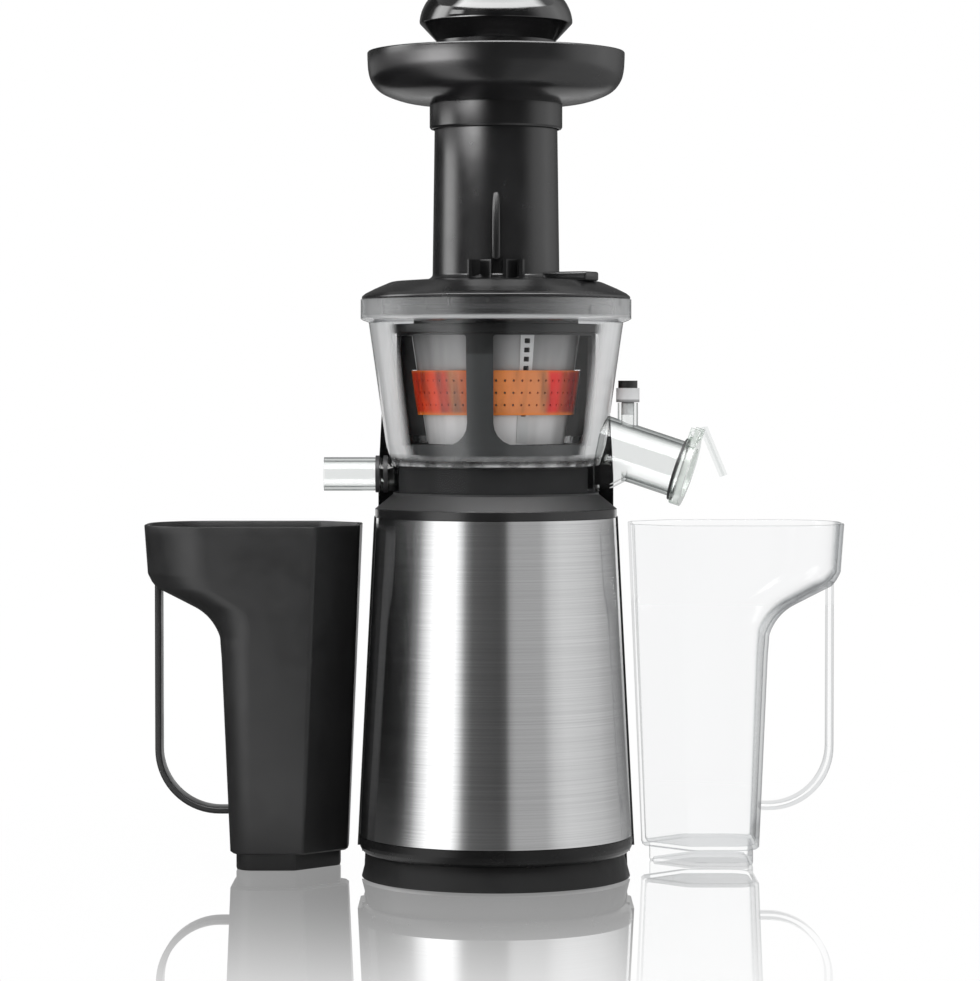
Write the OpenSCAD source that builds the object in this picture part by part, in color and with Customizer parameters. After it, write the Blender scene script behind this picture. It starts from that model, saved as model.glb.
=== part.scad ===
// Vertical cold press juicer with two jugs, in millimetres.
// Origin: on the machine's axis at table height. +Z is up and the front faces -Y.

/* [Base and housing] */
// Radius of the base plate at the table
base_foot_r = 67.3; // [66:0.1:72]
// Radius of the base plate's top edge
base_top_r = 64.2; // [63:0.1:66]
// Height of the rubber ring below the base plate
foot_proud = 1; // [0.6:0.1:2]
// Outer radius of the rubber ring
foot_ring_r = 60; // [56:0.5:62]
// Height of the base plate
base_plate_h = 12; // [10:0.5:16]
// Height of the gloss trim under the steel
trim_h = 8.5; // [7:0.5:12]
// Height of the steel wrap
wrap_h = 159.5; // [156:0.5:190]
// Radius of the steel wrap's bottom edge
wrap_bottom_r = 68.2; // [67:0.1:76]
// Radius of the steel wrap's top edge
wrap_top_r = 60; // [59:0.1:66]
// Sheet thickness of the steel wrap
wrap_t = 0.8; // [0.5:0.1:1.2]
// Wall of the plastic housing
housing_wall = 2.5; // [2:0.1:3.5]
// Width that the rear housing stands out past the steel
rear_lip = 1; // [0.5:0.1:2]
// Distance from the axis to the back of the housing
rear_depth = 86; // [83:0.5:100]
// Height of the tower behind the bowl above the steel
tower_rise = 58; // [40:0.5:60]
// Radius of the tower's hollow front face
tower_arc_r = 70; // [69.5:0.1:72]

/* [Top deck] */
// Radius of the lip over the steel
lip_r = 60.5; // [60:0.1:66]
// Height of that lip
lip_h = 4; // [3:0.1:6]
// Height of the sloped shoulder
bevel_h = 7.3; // [5:0.1:9]
// Radius of the round boss that the bowl sits over
boss_r = 49.5; // [48:0.1:51]
// Height of the boss above the shoulder
boss_h = 14.2; // [13.5:0.1:20]

/* [Motor] */
// Radius of the motor can
can_r = 34; // [32:0.5:40]
// Length of the motor can
can_len = 62; // [55:0.5:64]
// Radius of the rotor core
rotor_r = 23; // [18:0.5:24]
// Radius of the motor shaft
motor_shaft_r = 3; // [2.5:0.1:3.5]
// Radius of the cooling fan
fan_r = 31; // [24:0.5:36]

/* [Gears] */
// Module of the reduction gears
reducer_module = 1; // [0.9:0.01:1.05]
// Teeth of each small reduction gear
pinion_teeth = 12; // [12:1:14]
// Teeth of each large reduction gear
wheel_teeth = 60; // [60:2:62]
// Face width of the first pair of gears
first_face_w = 8; // [6:0.5:10]
// Face width of the second pair of gears
second_face_w = 10; // [8:0.5:12]
// Module of the gears in the bowl
bowl_module = 1.5; // [1.4:0.01:1.52]
// Teeth of the gear under the auger
sun_teeth = 18; // [18:1:18]
// Teeth of each idler gear
idler_teeth = 16; // [16:1:16]
// Play between meshing teeth
tooth_play = 0.3; // [0.2:0.01:0.4]
// Radius of the drive shaft
drive_r = 6; // [5.5:0.1:6.4]

/* [Bowl] */
// Radius of the clear skirt around the boss
skirt_r = 51.8; // [51.5:0.1:54]
// Wall of the bowl
bowl_wall = 2.4; // [2:0.1:2.6]
// Radius of the bowl just above its floor
bowl_low_r = 55; // [54.6:0.1:57]
// Radius of the bowl under its rim collar
bowl_high_r = 63.6; // [63:0.1:64.5]
// Height of the bowl's cone
bowl_cone_h = 61; // [60:0.5:66]
// Radius of the rim collar
collar_r = 67.6; // [67.4:0.1:70]
// Height of the rim collar
collar_h = 10.2; // [9.5:0.1:14]
// Outer radius of the juice spout
juice_spout_r = 8.35; // [7.5:0.05:8.6]
// Distance from the axis to the juice spout's end
juice_spout_reach = 86; // [78:0.5:100]
// Outer radius of the pulp spout
pulp_spout_r = 14.2; // [13:0.1:15]
// Wall of both spouts
spout_wall = 1.6; // [1.2:0.1:2]
// Length of the pulp spout from the bowl's wall
pulp_spout_len = 45; // [42:0.5:50]
// Downward slope of the pulp spout
pulp_slope = 18.2; // [16:0.1:20]
// Turn of the pulp spout towards the front
pulp_turn = 10; // [0:1:12]
// Angle that the flap stands open
flap_open = 41; // [30:1:50]
// Thickness of the flap
flap_t = 1.4; // [1:0.1:2]

/* [Strainer and brush] */
// Strainer radius at its bottom
strainer_low_r = 33.9; // [33.5:0.1:35]
// Strainer radius at its top
strainer_high_r = 41.8; // [41:0.1:42.3]
// Strainer wall
strainer_wall = 1.6; // [1.2:0.1:2]
// Height of the amber band
band_h = 22; // [16:0.5:26]
// Thickness of the amber band
band_t = 3; // [2:0.1:3.2]
// Slots around the strainer
strainer_slots = 28; // [16:2:40]
// Outer radius of the brush frame's top ring
frame_top_r = 52.7; // [51.5:0.1:54]
// Width of each bar of the brush frame
frame_bar_w = 14; // [10:0.5:18]
// Wall of the brush frame
frame_wall = 2.2; // [1.8:0.1:2.6]
// Angle of the front bar to the left of the front
frame_turn = 9.4; // [0:0.2:20]
// Thickness of each silicone wiper
wiper_t = 3; // [2:0.1:4]
// How far a wiper stands out of its bar
wiper_proud = 0.5; // [0.2:0.1:2]

/* [Auger] */
// Core radius at the auger's bottom
auger_low_r = 25; // [20:0.5:27]
// Core radius at the auger's top
auger_high_r = 13; // [10:0.5:18]
// Turns of each flight
flight_turns = 1.1; // [0.6:0.05:1.3]
// Thickness of each flight
flight_t = 5; // [3:0.5:7]
// Radius of the auger's top pin
auger_pin_r = 5; // [4:0.1:6]

/* [Lid, tray and pusher] */
// Radius of the lid's edge
lid_r = 67.2; // [67:0.1:69]
// Height of the lid's dome
dome_h = 9.9; // [9:0.1:14]
// Outer radius of the feed chute
chute_r = 31.2; // [30.5:0.1:31.6]
// Length of the feed chute above the dome
chute_len = 93.6; // [85:0.5:120]
// Wall of the chute
chute_wall = 2.5; // [2:0.1:3]
// Angle of the twist lock
lock_turn = 25; // [15:1:35]
// Length of the tray's collar
tray_collar_h = 17; // [12:0.5:22]
// Radius of the tray's rim
tray_r = 64.3; // [60:0.1:70]
// Depth of the tray's dish
dish_h = 25.5; // [22:0.5:32]
// Largest radius of the pusher's head
head_r = 38.2; // [36:0.1:44]
// Height of the pusher's head
head_h = 27.3; // [24:0.1:34]
// Height of the pusher's neck above the chute
neck_h = 21.9; // [20:0.1:28]

/* [Jugs] */
// Height of each jug
jug_h = 175.5; // [168:0.5:182]
// Length of each jug's rim
jug_len = 110.7; // [108:0.1:125]
// Width of each jug's rim
jug_w = 84; // [78:0.5:92]
// Width of each jug at its foot
jug_foot_w = 60; // [54:0.5:66]
// Wall of each jug
jug_wall = 2; // [1.6:0.1:2.6]
// Width of each jug's handle strap
strap_w = 16; // [12:0.5:20]
// Thickness of each jug's handle strap
strap_t = 3.2; // [2.5:0.1:4.5]
// Distance from the axis to each jug
jug_gap = 69; // [68.6:0.1:80]
// How far behind the axis the black jug stands
black_jug_back = 46; // [42:1:60]
// How far behind the axis the clear jug stands
clear_jug_back = 62; // [42:1:66]

/* [Hidden] */
$fn = 96;
hull_fn = 32;
e = 0.01;
big = 200;

// Clearances
running = 0.06; // shafts in their bores
seam = 0.05; // pieces welded or snapped on for good
gap = 0.4; // pieces that slip or lift past each other
rest_gap = 0.3; // pieces that rest on each other across a joint
glue = 0.05; // sheet glued over a shell

// Heights of the base
z_plate = foot_proud + base_plate_h;
z_trim = z_plate + trim_h;
z_wrap = z_trim + wrap_h;
z_lip = z_wrap + lip_h;
z_bevel = z_lip + bevel_h;
z_boss = z_bevel + boss_h;
z_tower = z_wrap + tower_rise;
plate_floor = 2.5;
spigot_r = wrap_top_r - housing_wall - 7.5;
deck_screw_out = 3.2;
spigot_h = 5;
bevel_top_r = skirt_r - 0.3;
bow_y = 8;
bow_r = rear_depth - bow_y;
bow_draft = 2;

// Reduction gears
reducer_centre = reducer_module * (pinion_teeth + wheel_teeth) / 2;
wheel_addendum = 0.75;
pinion_addendum = 1;
root_depth = 1.25;
z_motor = z_trim + 8.5;
z_can_top = z_motor + can_len;
z_box = z_can_top + 4;
box_floor = 3;
z_first = z_box + box_floor + 3;
z_second = z_first + first_face_w + 3;
z_box_top = z_second + second_face_w + 3;
box_r = wheel_teeth * reducer_module / 2 + reducer_module + 4;
box_wall = 2.5;
counter_pin_r = 3;
z_ceiling = z_boss - 17.5;
sleeve_r = 17.5;
bearing_r = 10;
bearing_h = 10;
bearing_z = [z_box_top + box_wall, z_ceiling - bearing_h - 2];
screw_r = 1.5;
deck_screw_r = 14;
gearbox_screw_deep = 14;
base_screw_r = 47;
base_screw_x = 46;
base_screw_back = 34;
base_screw_y = rear_depth - base_screw_back;
base_screw_seat = 4;
base_post_r = 5;
housing_boss_h = 14;
slot_w = 3;
screw_head_r = 2.8;
screw_head_h = 2;

// Bowl
z_skirt = z_bevel + 1.2;
z_floor_low = z_boss + gap;
floor_t = 2.5;
z_floor = z_floor_low + floor_t;
z_cone = z_floor + 7.6;
z_cone_top = z_cone + bowl_cone_h;
z_collar = z_cone_top + 1.8;
z_rim = z_collar + collar_h - 0.6;
collar_bore_r = collar_r - 2.8;
hub_bore_r = drive_r + 0.6;
hub_r = hub_bore_r + 2;
z_hub = z_floor + 3.6;
sump_out_x = skirt_r - 1.8;
sump_in_x = 37.3;
sump_half_w = juice_spout_r + 0.1;
sump_wall = 1.8;
z_juice = z_floor - 7.1;
z_sump = z_juice - juice_spout_r;
duct_in_r = 18;
duct_half_w = 9;
duct_wall = 1.8;
z_duct = z_skirt + 2;
hexagon = 6;
hex_h = 22;

// Pulp spout
pulp_start_r = 50;
z_pulp = z_floor + 9.45;
pulp_ring_h = 5;
pulp_ring_r = pulp_spout_r + 3.1;
gasket_t = 1.5;
flap_hinge_along = pulp_spout_len + 1.7;
flap_hinge_up = pulp_ring_r + 2.4;
flap_len = 26;
flap_w = 24;
flap_pin_r = 1.2;
post_r = 5;
post_start_r = 66.5;
z_post = z_floor + 28.6;
plug_r = 5.8;
plug_h = 7;
plug_cap_h = 3.7;
plug_lift_r = post_r - 1.8;

// Bowl gears
ring_teeth = sun_teeth + 2 * idler_teeth;
idler_centre = bowl_module * (sun_teeth + idler_teeth) / 2;
bowl_gear_h = 7;
z_bowl_gear = z_floor + rest_gap;
idler_pin_r = 2.5;
ring_gear_r = bowl_module * ring_teeth / 2 + 7;

// Strainer
z_strainer = z_bowl_gear + bowl_gear_h + 0.8;
strainer_plate_t = 1.8;
strainer_h = 54;
z_strainer_top = z_strainer + strainer_h;
strainer_hole_r = bowl_module * sun_teeth / 2 + bowl_module + 0.6;
band_rise = 14.5;
z_band = z_strainer + band_rise;
flange_out = 2.5;
flange_t = 2.5;

// Brush frame, as [radius, height] of its outer face
z_frame = z_floor + rest_gap;
z_frame_ring = z_strainer_top + 1;
z_frame_top = z_frame_ring + 4.5;
frame_line = [
    [ring_gear_r + 1.6, z_frame], [ring_gear_r + 3, z_strainer + 3.5],
    [ring_gear_r + 4.9, z_strainer + 29.5], [ring_gear_r + 5.2, z_frame_ring]
];

// Auger
z_auger = z_strainer + strainer_plate_t + 0.4;
auger_h = 51;
z_auger_top = z_auger + auger_h + 4;
z_pin_top = z_auger_top + 13;
flight_gap = 0.7;

// Lid
z_lid = z_rim + rest_gap;
z_dome = z_lid + dome_h;
z_chute_top = z_dome + chute_len;
skirt_out_r = collar_bore_r - gap;
skirt_wall = 2.4;
skirt_h = 8;
hopper_r = strainer_high_r - 3;
hopper_wall = 2.4;
z_hopper = z_strainer_top + flange_t + 2.5;
bridge_w = 8;
bridge_h = 12;
z_bridge = z_lid - 5.5;
bushing_r = auger_pin_r + 3;
lug_angle = 14;
lug_out = 1.4;
lug_h = 3;
lug_count = 4;
z_lug = z_collar + 2.4;
chute_top_r = chute_r - 0.8;
chute_bore_r = chute_top_r - chute_wall + 0.1;

// Tray and pusher
tray_bore_r = chute_r + 0.2;
tray_collar_r = tray_bore_r + 1.7;
z_tray = z_chute_top - 2 - tray_collar_h;
z_dish = z_tray + tray_collar_h - 4;
throat_h = 2.2;
pusher_r = chute_bore_r - 0.7;
pusher_wall = 2;
z_pusher = z_bridge + bridge_h + 2;
z_neck = z_chute_top + rest_gap + throat_h + rest_gap;
neck_r = pusher_r + 2.3;
z_head = z_neck + neck_h;

// Switch and inlet
z_switch = z_trim + 40;
switch_w = 22;
switch_h = 30;
switch_depth = 18;
rocker_w = 13;
rocker_h = 21;
rocker_pin_r = 1.5;
z_gland = z_trim + 9;
gland_r = 7;

// Jugs
jug_side_draft = 6.9;
jug_body_len = 59.5;
jug_chamfer = 22;
jug_undercut_z = 108.5;
jug_flare_z = 90;
jug_foot_h = 8.5;
strap_out = 5.1;
strap_bend_r = 33;
z_strap = 27;
jug_side_flare = 4;
jug_fillet_r = 24;
jug_fillet_end = [
    jug_side_draft + jug_body_len + jug_side_flare + jug_fillet_r / 2 + 1.35,
    jug_undercut_z + 4 + jug_fillet_r * sin(120)
];
jug_lip = [jug_len - 6.2, jug_undercut_z + 34.9];
jug_lip_top = [jug_len - 1.7, jug_undercut_z + 42];

function cone_r(z) = wrap_bottom_r + (z - z_trim) * (wrap_top_r - wrap_bottom_r) / wrap_h;
function between(a, b, t) = a + (b - a) * t;
function strainer_r(z) =
    between(strainer_low_r, strainer_high_r, (z - z_strainer) / (z_strainer_top - z_strainer));
function bowl_r(z) = between(bowl_low_r, bowl_high_r, (z - z_cone) / bowl_cone_h);
function band_r(z) = strainer_r(z) + band_t;
function inv(a) = tan(a) * 180 / PI - a;

// Half the angle that a tooth covers at radius r.
function tooth_half(n, m, r, play, pressure = 20) =
    90 / n - play / 2 / (n * m / 2) * 180 / PI + inv(pressure)
    - inv(acos(min(1, n * m / 2 * cos(pressure) / r)));

// Outline of a spur gear with involute flanks and a tooth centred on +X.
function gear_outline(n, m, play, addendum, dedendum, steps = 4) = let(
    pitch_r = n * m / 2,
    tip_r = pitch_r + addendum * m,
    root_r = pitch_r - dedendum * m,
    start_r = max(pitch_r * cos(20), root_r + 0.05 * m)
) [
    for (i = [0:n - 1]) let(
        right = [for (k = [0:steps]) let(r = between(start_r, tip_r, k / steps))
            [r, -tooth_half(n, m, r, play)]],
        half = concat([[root_r, right[0][1]]], right),
        both = concat(half, [for (k = [len(half) - 1:-1:0]) [half[k][0], -half[k][1]]])
    ) for (p = both) [p[0] * cos(p[1] + 360 * i / n), p[0] * sin(p[1] + 360 * i / n)]
];

module gear(n, m, h, addendum, bore_r, phase = 0) {
    difference() {
        rotate([0, 0, phase]) linear_extrude(h)
            polygon(gear_outline(n, m, tooth_play / 2, addendum, root_depth));
        translate([0, 0, -e]) cylinder(h = h + 2 * e, r = bore_r / cos(15), $fn = 12);
    }
}

module ring(z, h, outer, inner) {
    translate([0, 0, z]) difference() {
        cylinder(h = h, r = outer);
        translate([0, 0, -e]) cylinder(h = h + 2 * e, r = inner);
    }
}

module around(count, start = 0) {
    for (i = [0:count - 1]) rotate([0, 0, start + 360 * i / count]) children();
}

module screw(z, length) {
    translate([0, 0, z]) cylinder(h = length, r = screw_r);
    translate([0, 0, z - screw_head_h]) cylinder(h = screw_head_h, r = screw_head_r);
}

module spin(points, angle = 360, start = 0) {
    rotate([0, 0, start]) rotate_extrude(angle = angle) polygon(points);
}

// ---------- base ----------

// The housing's D-shaped solid between two heights.
module housing_front(z0, z1, inset) {
    intersection() {
        translate([0, 0, z0]) cylinder(h = z1 - z0, r1 = cone_r(z0) - inset, r2 = cone_r(z1) - inset);
        translate([-big, -big, z0]) cube([2 * big, big, z1 - z0]);
    }
}

module housing_rear(z0, z1, inset) {
    side0 = cone_r(z0) + rear_lip - inset;
    side1 = cone_r(z1) + rear_lip - inset;
    bow0 = bow_r - inset - bow_draft * (z0 - z_trim) / (z_tower - z_trim);
    bow1 = bow_r - inset - bow_draft * (z1 - z_trim) / (z_tower - z_trim);
    intersection() {
        translate([0, big, 0]) rotate([90, 0, 0]) linear_extrude(big)
            polygon([[-side0, z0], [side0, z0], [side1, z1], [-side1, z1]]);
        translate([0, bow_y, z0]) cylinder(h = z1 - z0, r1 = bow0, r2 = bow1);
    }
}

// The rear half with its tower, whose hollow front face follows the bowl.
module rear_solid(z0, inset) {
    z_shelf = z_wrap - inset;
    tower_half_w = cone_r(z_wrap) - inset;
    difference() {
        housing_rear(z0, z_tower - inset, inset);
        translate([0, 0, z_shelf]) cylinder(h = tower_rise + 1, r = tower_arc_r + inset);
        for (side = [0, 1]) mirror([side, 0, 0]) translate([tower_half_w, -1, z_shelf])
            cube([big, big, tower_rise + 1]);
    }
}

module foot_ring() color("#151515") {
    ring(0, foot_proud + 1.5, foot_ring_r, foot_ring_r - 6);
}

module base_plate() color("#1a1a1b") difference() {
    union() {
        intersection() {
            translate([0, 0, foot_proud]) cylinder(h = base_plate_h, r1 = base_foot_r, r2 = base_top_r);
            translate([-big, -big, 0]) cube([2 * big, big + e, z_plate]);
        }
        intersection() {
            housing_rear(foot_proud, z_plate, wrap_bottom_r - base_top_r);
            translate([-big, 0, 0]) cube([2 * big, big, big]);
        }
    }
    difference() {
        union() {
            translate([0, 0, foot_proud + plate_floor]) cylinder(h = base_plate_h, r = base_top_r - 3);
            housing_rear(foot_proud + plate_floor, z_plate + 1, wrap_bottom_r - base_top_r + 3);
        }
        base_posts(z_plate);
    }
    ring(foot_proud - e, 1.5 + 2 * e, foot_ring_r + 0.05, foot_ring_r - 6.05);
    base_screw_places() translate([0, 0, -e]) {
        cylinder(h = foot_proud + base_screw_seat + 2 * e, r = screw_head_r + 0.3);
        cylinder(h = z_trim + 5, r = screw_r + 0.2);
    }
    around(12, 15) translate([24, -slot_w / 2, 0]) cube([16, slot_w, 2 * plate_floor + foot_proud]);
}

module base_screw_places() {
    for (a = [215, 325]) rotate([0, 0, a]) translate([base_screw_r, 0, 0]) children();
    for (x = [-base_screw_x, base_screw_x]) translate([x, base_screw_y, 0]) children();
}

module base_posts(top) {
    base_screw_places() translate([0, 0, foot_proud]) cylinder(h = top - foot_proud, r = base_post_r);
}

module base_screws() color("#8d9093") base_screw_places() {
    screw(foot_proud + base_screw_seat, z_trim + 1 - foot_proud);
}

module lower_trim() color("#0b0b0c") difference() {
    union() {
        intersection() {
            spin([
                [0, z_plate], [base_top_r + 0.6, z_plate],
                for (a = [-60:20:0]) [wrap_bottom_r + 0.2 - 4 + 4 * cos(a), z_plate + 5 + 5 * sin(a)],
                [wrap_bottom_r + 0.2, z_trim], [0, z_trim]
            ]);
            translate([-big, -big, 0]) cube([2 * big, big, big]);
        }
        housing_rear(z_plate, z_plate + 3, 2.4);
        housing_rear(z_plate + 3, z_trim, 0);
    }
    translate([0, 0, z_plate - e]) cylinder(h = trim_h + 1, r = base_top_r - 3);
    housing_rear(z_plate - e, z_trim + e, housing_wall + 3);
}

module rear_housing() color("#191a1b") difference() {
    union() {
        difference() {
            union() {
                housing_front(z_trim, z_wrap, wrap_t + glue);
                rear_solid(z_trim, 0);
            }
            housing_front(z_trim - 1, z_wrap - housing_wall, wrap_t + glue + housing_wall);
            rear_solid(z_trim - 1, housing_wall);
        }
        // bosses that take the screws from below
        intersection() {
            base_screw_places() translate([0, 0, z_plate])
                cylinder(h = trim_h + housing_boss_h, r = base_post_r);
            translate([0, 0, z_plate]) cylinder(h = trim_h + housing_boss_h, r = rear_depth);
        }
        // ribs that tie the bosses to the wall
        rib_top = z_trim + housing_boss_h;
        for (a = [215, 325]) rotate([0, 0, a]) translate([base_screw_r, -slot_w / 2, z_trim])
            cube([cone_r(rib_top) - base_screw_r - housing_wall + 0.8, slot_w, housing_boss_h]);
        for (side = [0, 1]) mirror([side, 0, 0]) intersection() {
            translate([base_screw_x, base_screw_y - slot_w / 2, z_trim])
                cube([cone_r(rib_top) - base_screw_x, slot_w, housing_boss_h]);
            housing_rear(z_trim, rib_top, rear_lip);
        }
    }
    translate([0, 0, z_wrap - housing_wall - 1]) cylinder(h = housing_wall + 2, r = spigot_r + 0.1);
    base_screw_places() translate([0, 0, z_plate - e]) cylinder(h = trim_h + 8, r = screw_r);
    translate([-switch_w / 2 - 0.2, rear_depth - 12, z_switch - switch_h / 2 - 0.2])
        cube([switch_w + 0.4, 20, switch_h + 0.4]);
    translate([0, rear_depth, z_gland]) rotate([90, 0, 0]) cylinder(h = 12, r = gland_r - 1.5, center = true);
    for (i = [0:5], x = [-22, 22]) translate([x - 11, rear_depth - 16, z_switch + 30 + 5 * i])
        cube([22, 20, 2.2]);
    around(6, 30) deck_screw_hole();
}

module deck_screw_hole() {
    translate([spigot_r + deck_screw_out, 0, z_wrap - 6]) cylinder(h = 9, r = screw_r);
}

module steel_wrap() color("#b9bbbd") difference() {
    housing_front(z_trim, z_wrap, 0);
    housing_front(z_trim - 1, z_wrap + 1, wrap_t);
}

module top_deck() color("#222325") difference() {
    spin([
        [bearing_r, z_ceiling], [spigot_r - 3, z_ceiling], [spigot_r - 3, z_wrap - spigot_h],
        [spigot_r, z_wrap - spigot_h], [spigot_r, z_wrap], [lip_r, z_wrap],
        [lip_r, z_lip], [bevel_top_r, z_bevel], [boss_r, z_bevel],
        for (a = [0:30:90]) [boss_r - 1.5 + 1.5 * cos(a), z_boss - 1.5 + 1.5 * sin(a)],
        [bearing_r, z_boss]
    ]);
    // coring pockets from below, clear of the two channels
    for (s = [[15, 60], [90, 65], [200, 60], [270, 60]])
        spin([[22, z_ceiling - e], [boss_r - 3, z_ceiling - e], [boss_r - 3, z_boss - 3], [22, z_boss - 3]],
            s[1], s[0]);
    // channel under the juice sump
    translate([-big, -sump_half_w - sump_wall - 0.8, z_sump - 0.7])
        cube([big - sump_in_x + sump_wall + 0.8, 2 * (sump_half_w + sump_wall + 0.8), 30]);
    // channel under the pulp duct
    rotate([0, 0, -pulp_turn]) translate([duct_in_r - duct_wall - 0.8, -duct_half_w - duct_wall - 0.8,
        z_duct - 0.7])
        cube([big, 2 * (duct_half_w + duct_wall + 0.8), 30]);
    around(4, 45) translate([deck_screw_r, 0, z_ceiling - e]) cylinder(h = 9, r = screw_r);
    around(6, 30) deck_screw_hole();
}

module deck_screws() color("#8d9093") {
    around(6, 30) translate([spigot_r + deck_screw_out, 0, 0]) screw(z_wrap - housing_wall, 5.5);
    around(4, 45) translate([deck_screw_r, 0, 0]) screw(z_ceiling - 4, 12);
}

module seat_seal() color("#2a2a2b") {
    ring(z_bevel, 0.9, skirt_r - 0.4, boss_r + 0.3);
}

module shaft_seal() color("#303234") {
    ring(z_boss - 6, 5.4, bearing_r, drive_r + running);
}

// ---------- motor ----------

module motor_can() color("#7d8084") difference() {
    union() {
        translate([0, 0, z_motor]) cylinder(h = can_len, r = can_r);
        translate([0, 0, z_can_top]) cylinder(h = z_box - z_can_top, r = 12);
    }
    translate([0, 0, z_motor - 1]) cylinder(h = can_len - 1, r = can_r - 2);
    translate([0, 0, z_motor]) cylinder(h = can_len + 9, r = 7);
    around(4) translate([can_r - 3, -6, z_can_top - 12]) cube([6, 12, 6]);
}

module motor_magnets() color("#4a4a4c") for (a = [20, 200])
    spin([
        [rotor_r + 1.2, z_motor + 14], [can_r - 2 - glue, z_motor + 14],
        [can_r - 2 - glue, z_can_top - 16], [rotor_r + 1.2, z_can_top - 16]
    ], 140, a);

module motor_end_bell() color("#2c2d2f") difference() {
    translate([0, 0, z_motor - 4]) cylinder(h = 4, r = can_r);
    translate([0, 0, z_motor - 5]) cylinder(h = 6, r = 7);
    around(6) translate([14, -4, z_motor - 5]) cube([12, 8, 6]);
}

module motor_bearings() color("#c9a463") {
    ring(z_can_top - 2, 6, 7, motor_shaft_r + running);
    ring(z_motor - 4, 4, 7, motor_shaft_r + running);
}

module motor_shaft() color("#c3c6c9") {
    translate([0, 0, z_motor - 18]) cylinder(h = z_first + first_face_w + 1 - z_motor + 18,
        r = motor_shaft_r);
}

module rotor_core() color("#6b6e72") difference() {
    translate([0, 0, z_motor + 16]) cylinder(h = can_len - 34, r = rotor_r);
    translate([0, 0, z_motor]) cylinder(h = can_len, r = motor_shaft_r);
    around(8) translate([rotor_r - 9, -1, z_motor]) cube([10, 2, can_len]);
    around(8) translate([rotor_r - 10, 0, z_motor]) cylinder(h = can_len, r = 3.2);
}

module rotor_windings() color("#b4622c") {
    ring(z_motor + 8, 8, rotor_r - 5, motor_shaft_r);
    ring(z_can_top - 18, 7, rotor_r - 5, motor_shaft_r);
    around(8) translate([rotor_r - 10, 0, z_motor + 15]) cylinder(h = can_len - 32, r = 3.1);
}

module motor_pinion() color("#d0b060") translate([0, 0, z_first])
    gear(pinion_teeth, reducer_module, first_face_w + 1, pinion_addendum, motor_shaft_r);

module cooling_fan() color("#3f5c86") {
    difference() {
        translate([0, 0, z_motor - 16]) cylinder(h = 9, r = 9);
        translate([0, 0, z_motor - 20]) cylinder(h = 20, r = motor_shaft_r);
    }
    around(9) translate([8, 0, z_motor - 16]) rotate([35, 0, 0]) translate([0, -0.8, 0])
        cube([fan_r - 8, 1.6, 8]);
}

// ---------- gearbox ----------

module stadium(z, h, r) {
    translate([0, 0, z]) cylinder(h = h, r = r);
    translate([0, reducer_centre, z]) cylinder(h = h, r = r);
    translate([-r, 0, z]) cube([2 * r, reducer_centre, h]);
}

module gearbox_screw_places() {
    for (x = [-1, 1], y = [0, reducer_centre]) translate([x * (box_r + 3), y, 0]) children();
}

module gearbox_housing() color("#3a3b3d") difference() {
    union() {
        stadium(z_box, z_box_top - z_box, box_r);
        gearbox_screw_places() translate([0, 0, z_box]) cylinder(h = z_box_top - z_box, r = 4);
    }
    stadium(z_box + box_floor, z_box_top, box_r - box_wall);
    translate([0, 0, z_box - 1]) cylinder(h = 10, r = motor_shaft_r + 3);
    translate([0, reducer_centre, z_box - 1]) cylinder(h = 10, r = counter_pin_r);
    gearbox_screw_places() translate([0, 0, z_box_top - gearbox_screw_deep])
        cylinder(h = gearbox_screw_deep + 1, r = screw_r);
}

module gearbox_cover() color("#45474a") difference() {
    union() {
        stadium(z_box_top, box_wall, box_r);
        gearbox_screw_places() translate([0, 0, z_box_top]) cylinder(h = box_wall, r = 4);
        translate([0, 0, z_box_top]) cylinder(h = z_ceiling - z_box_top, r = sleeve_r);
        around(4) translate([sleeve_r - 1, -1.5, z_box_top]) cube([12, 3, 22]);
    }
    translate([0, 0, z_box_top - 1]) cylinder(h = z_ceiling, r = bearing_r);
    translate([0, reducer_centre, z_box_top - 1]) cylinder(h = 10, r = counter_pin_r);
    gearbox_screw_places() translate([0, 0, z_box_top - 1]) cylinder(h = 20, r = screw_r);
    around(4, 45) translate([deck_screw_r, 0, z_ceiling - 8]) {
        cylinder(h = 20, r = screw_r);
        translate([0, 0, 4 - screw_head_h]) cylinder(h = screw_head_h, r = screw_head_r);
    }
}

module gearbox_screws() color("#8d9093") gearbox_screw_places() {
    translate([0, 0, z_box_top - 13]) cylinder(h = 13 + box_wall, r = screw_r);
    translate([0, 0, z_box_top + box_wall]) cylinder(h = screw_head_h, r = screw_head_r);
}

module counter_pin() color("#c3c6c9") {
    translate([0, reducer_centre, z_box]) cylinder(h = z_box_top + box_wall - z_box, r = counter_pin_r);
}

module cluster_gear() color("#d8d2c0") translate([0, reducer_centre, 0]) {
    translate([0, 0, z_first]) gear(wheel_teeth, reducer_module, first_face_w, wheel_addendum,
        counter_pin_r + running, 180 / wheel_teeth);
    translate([0, 0, z_first + first_face_w - e])
        gear(pinion_teeth, reducer_module, second_face_w + 3 + e, pinion_addendum, counter_pin_r + running);
}

module output_gear() color("#cfc7ae") translate([0, 0, z_second])
    gear(wheel_teeth, reducer_module, second_face_w - 1, wheel_addendum, drive_r, 180 / wheel_teeth);

module drive_shaft() color("#c9ccd0") {
    translate([0, 0, z_second - 0.5]) cylinder(h = z_hub + 0.8 - z_second + 0.5, r = drive_r);
    translate([0, 0, z_hub + 0.8 - e]) cylinder(h = hex_h, r = drive_r, $fn = hexagon);
}

module output_bearings() color("#8f9398") for (z = bearing_z)
    ring(z, bearing_h, bearing_r, drive_r + running);

// ---------- electrics ----------

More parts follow.
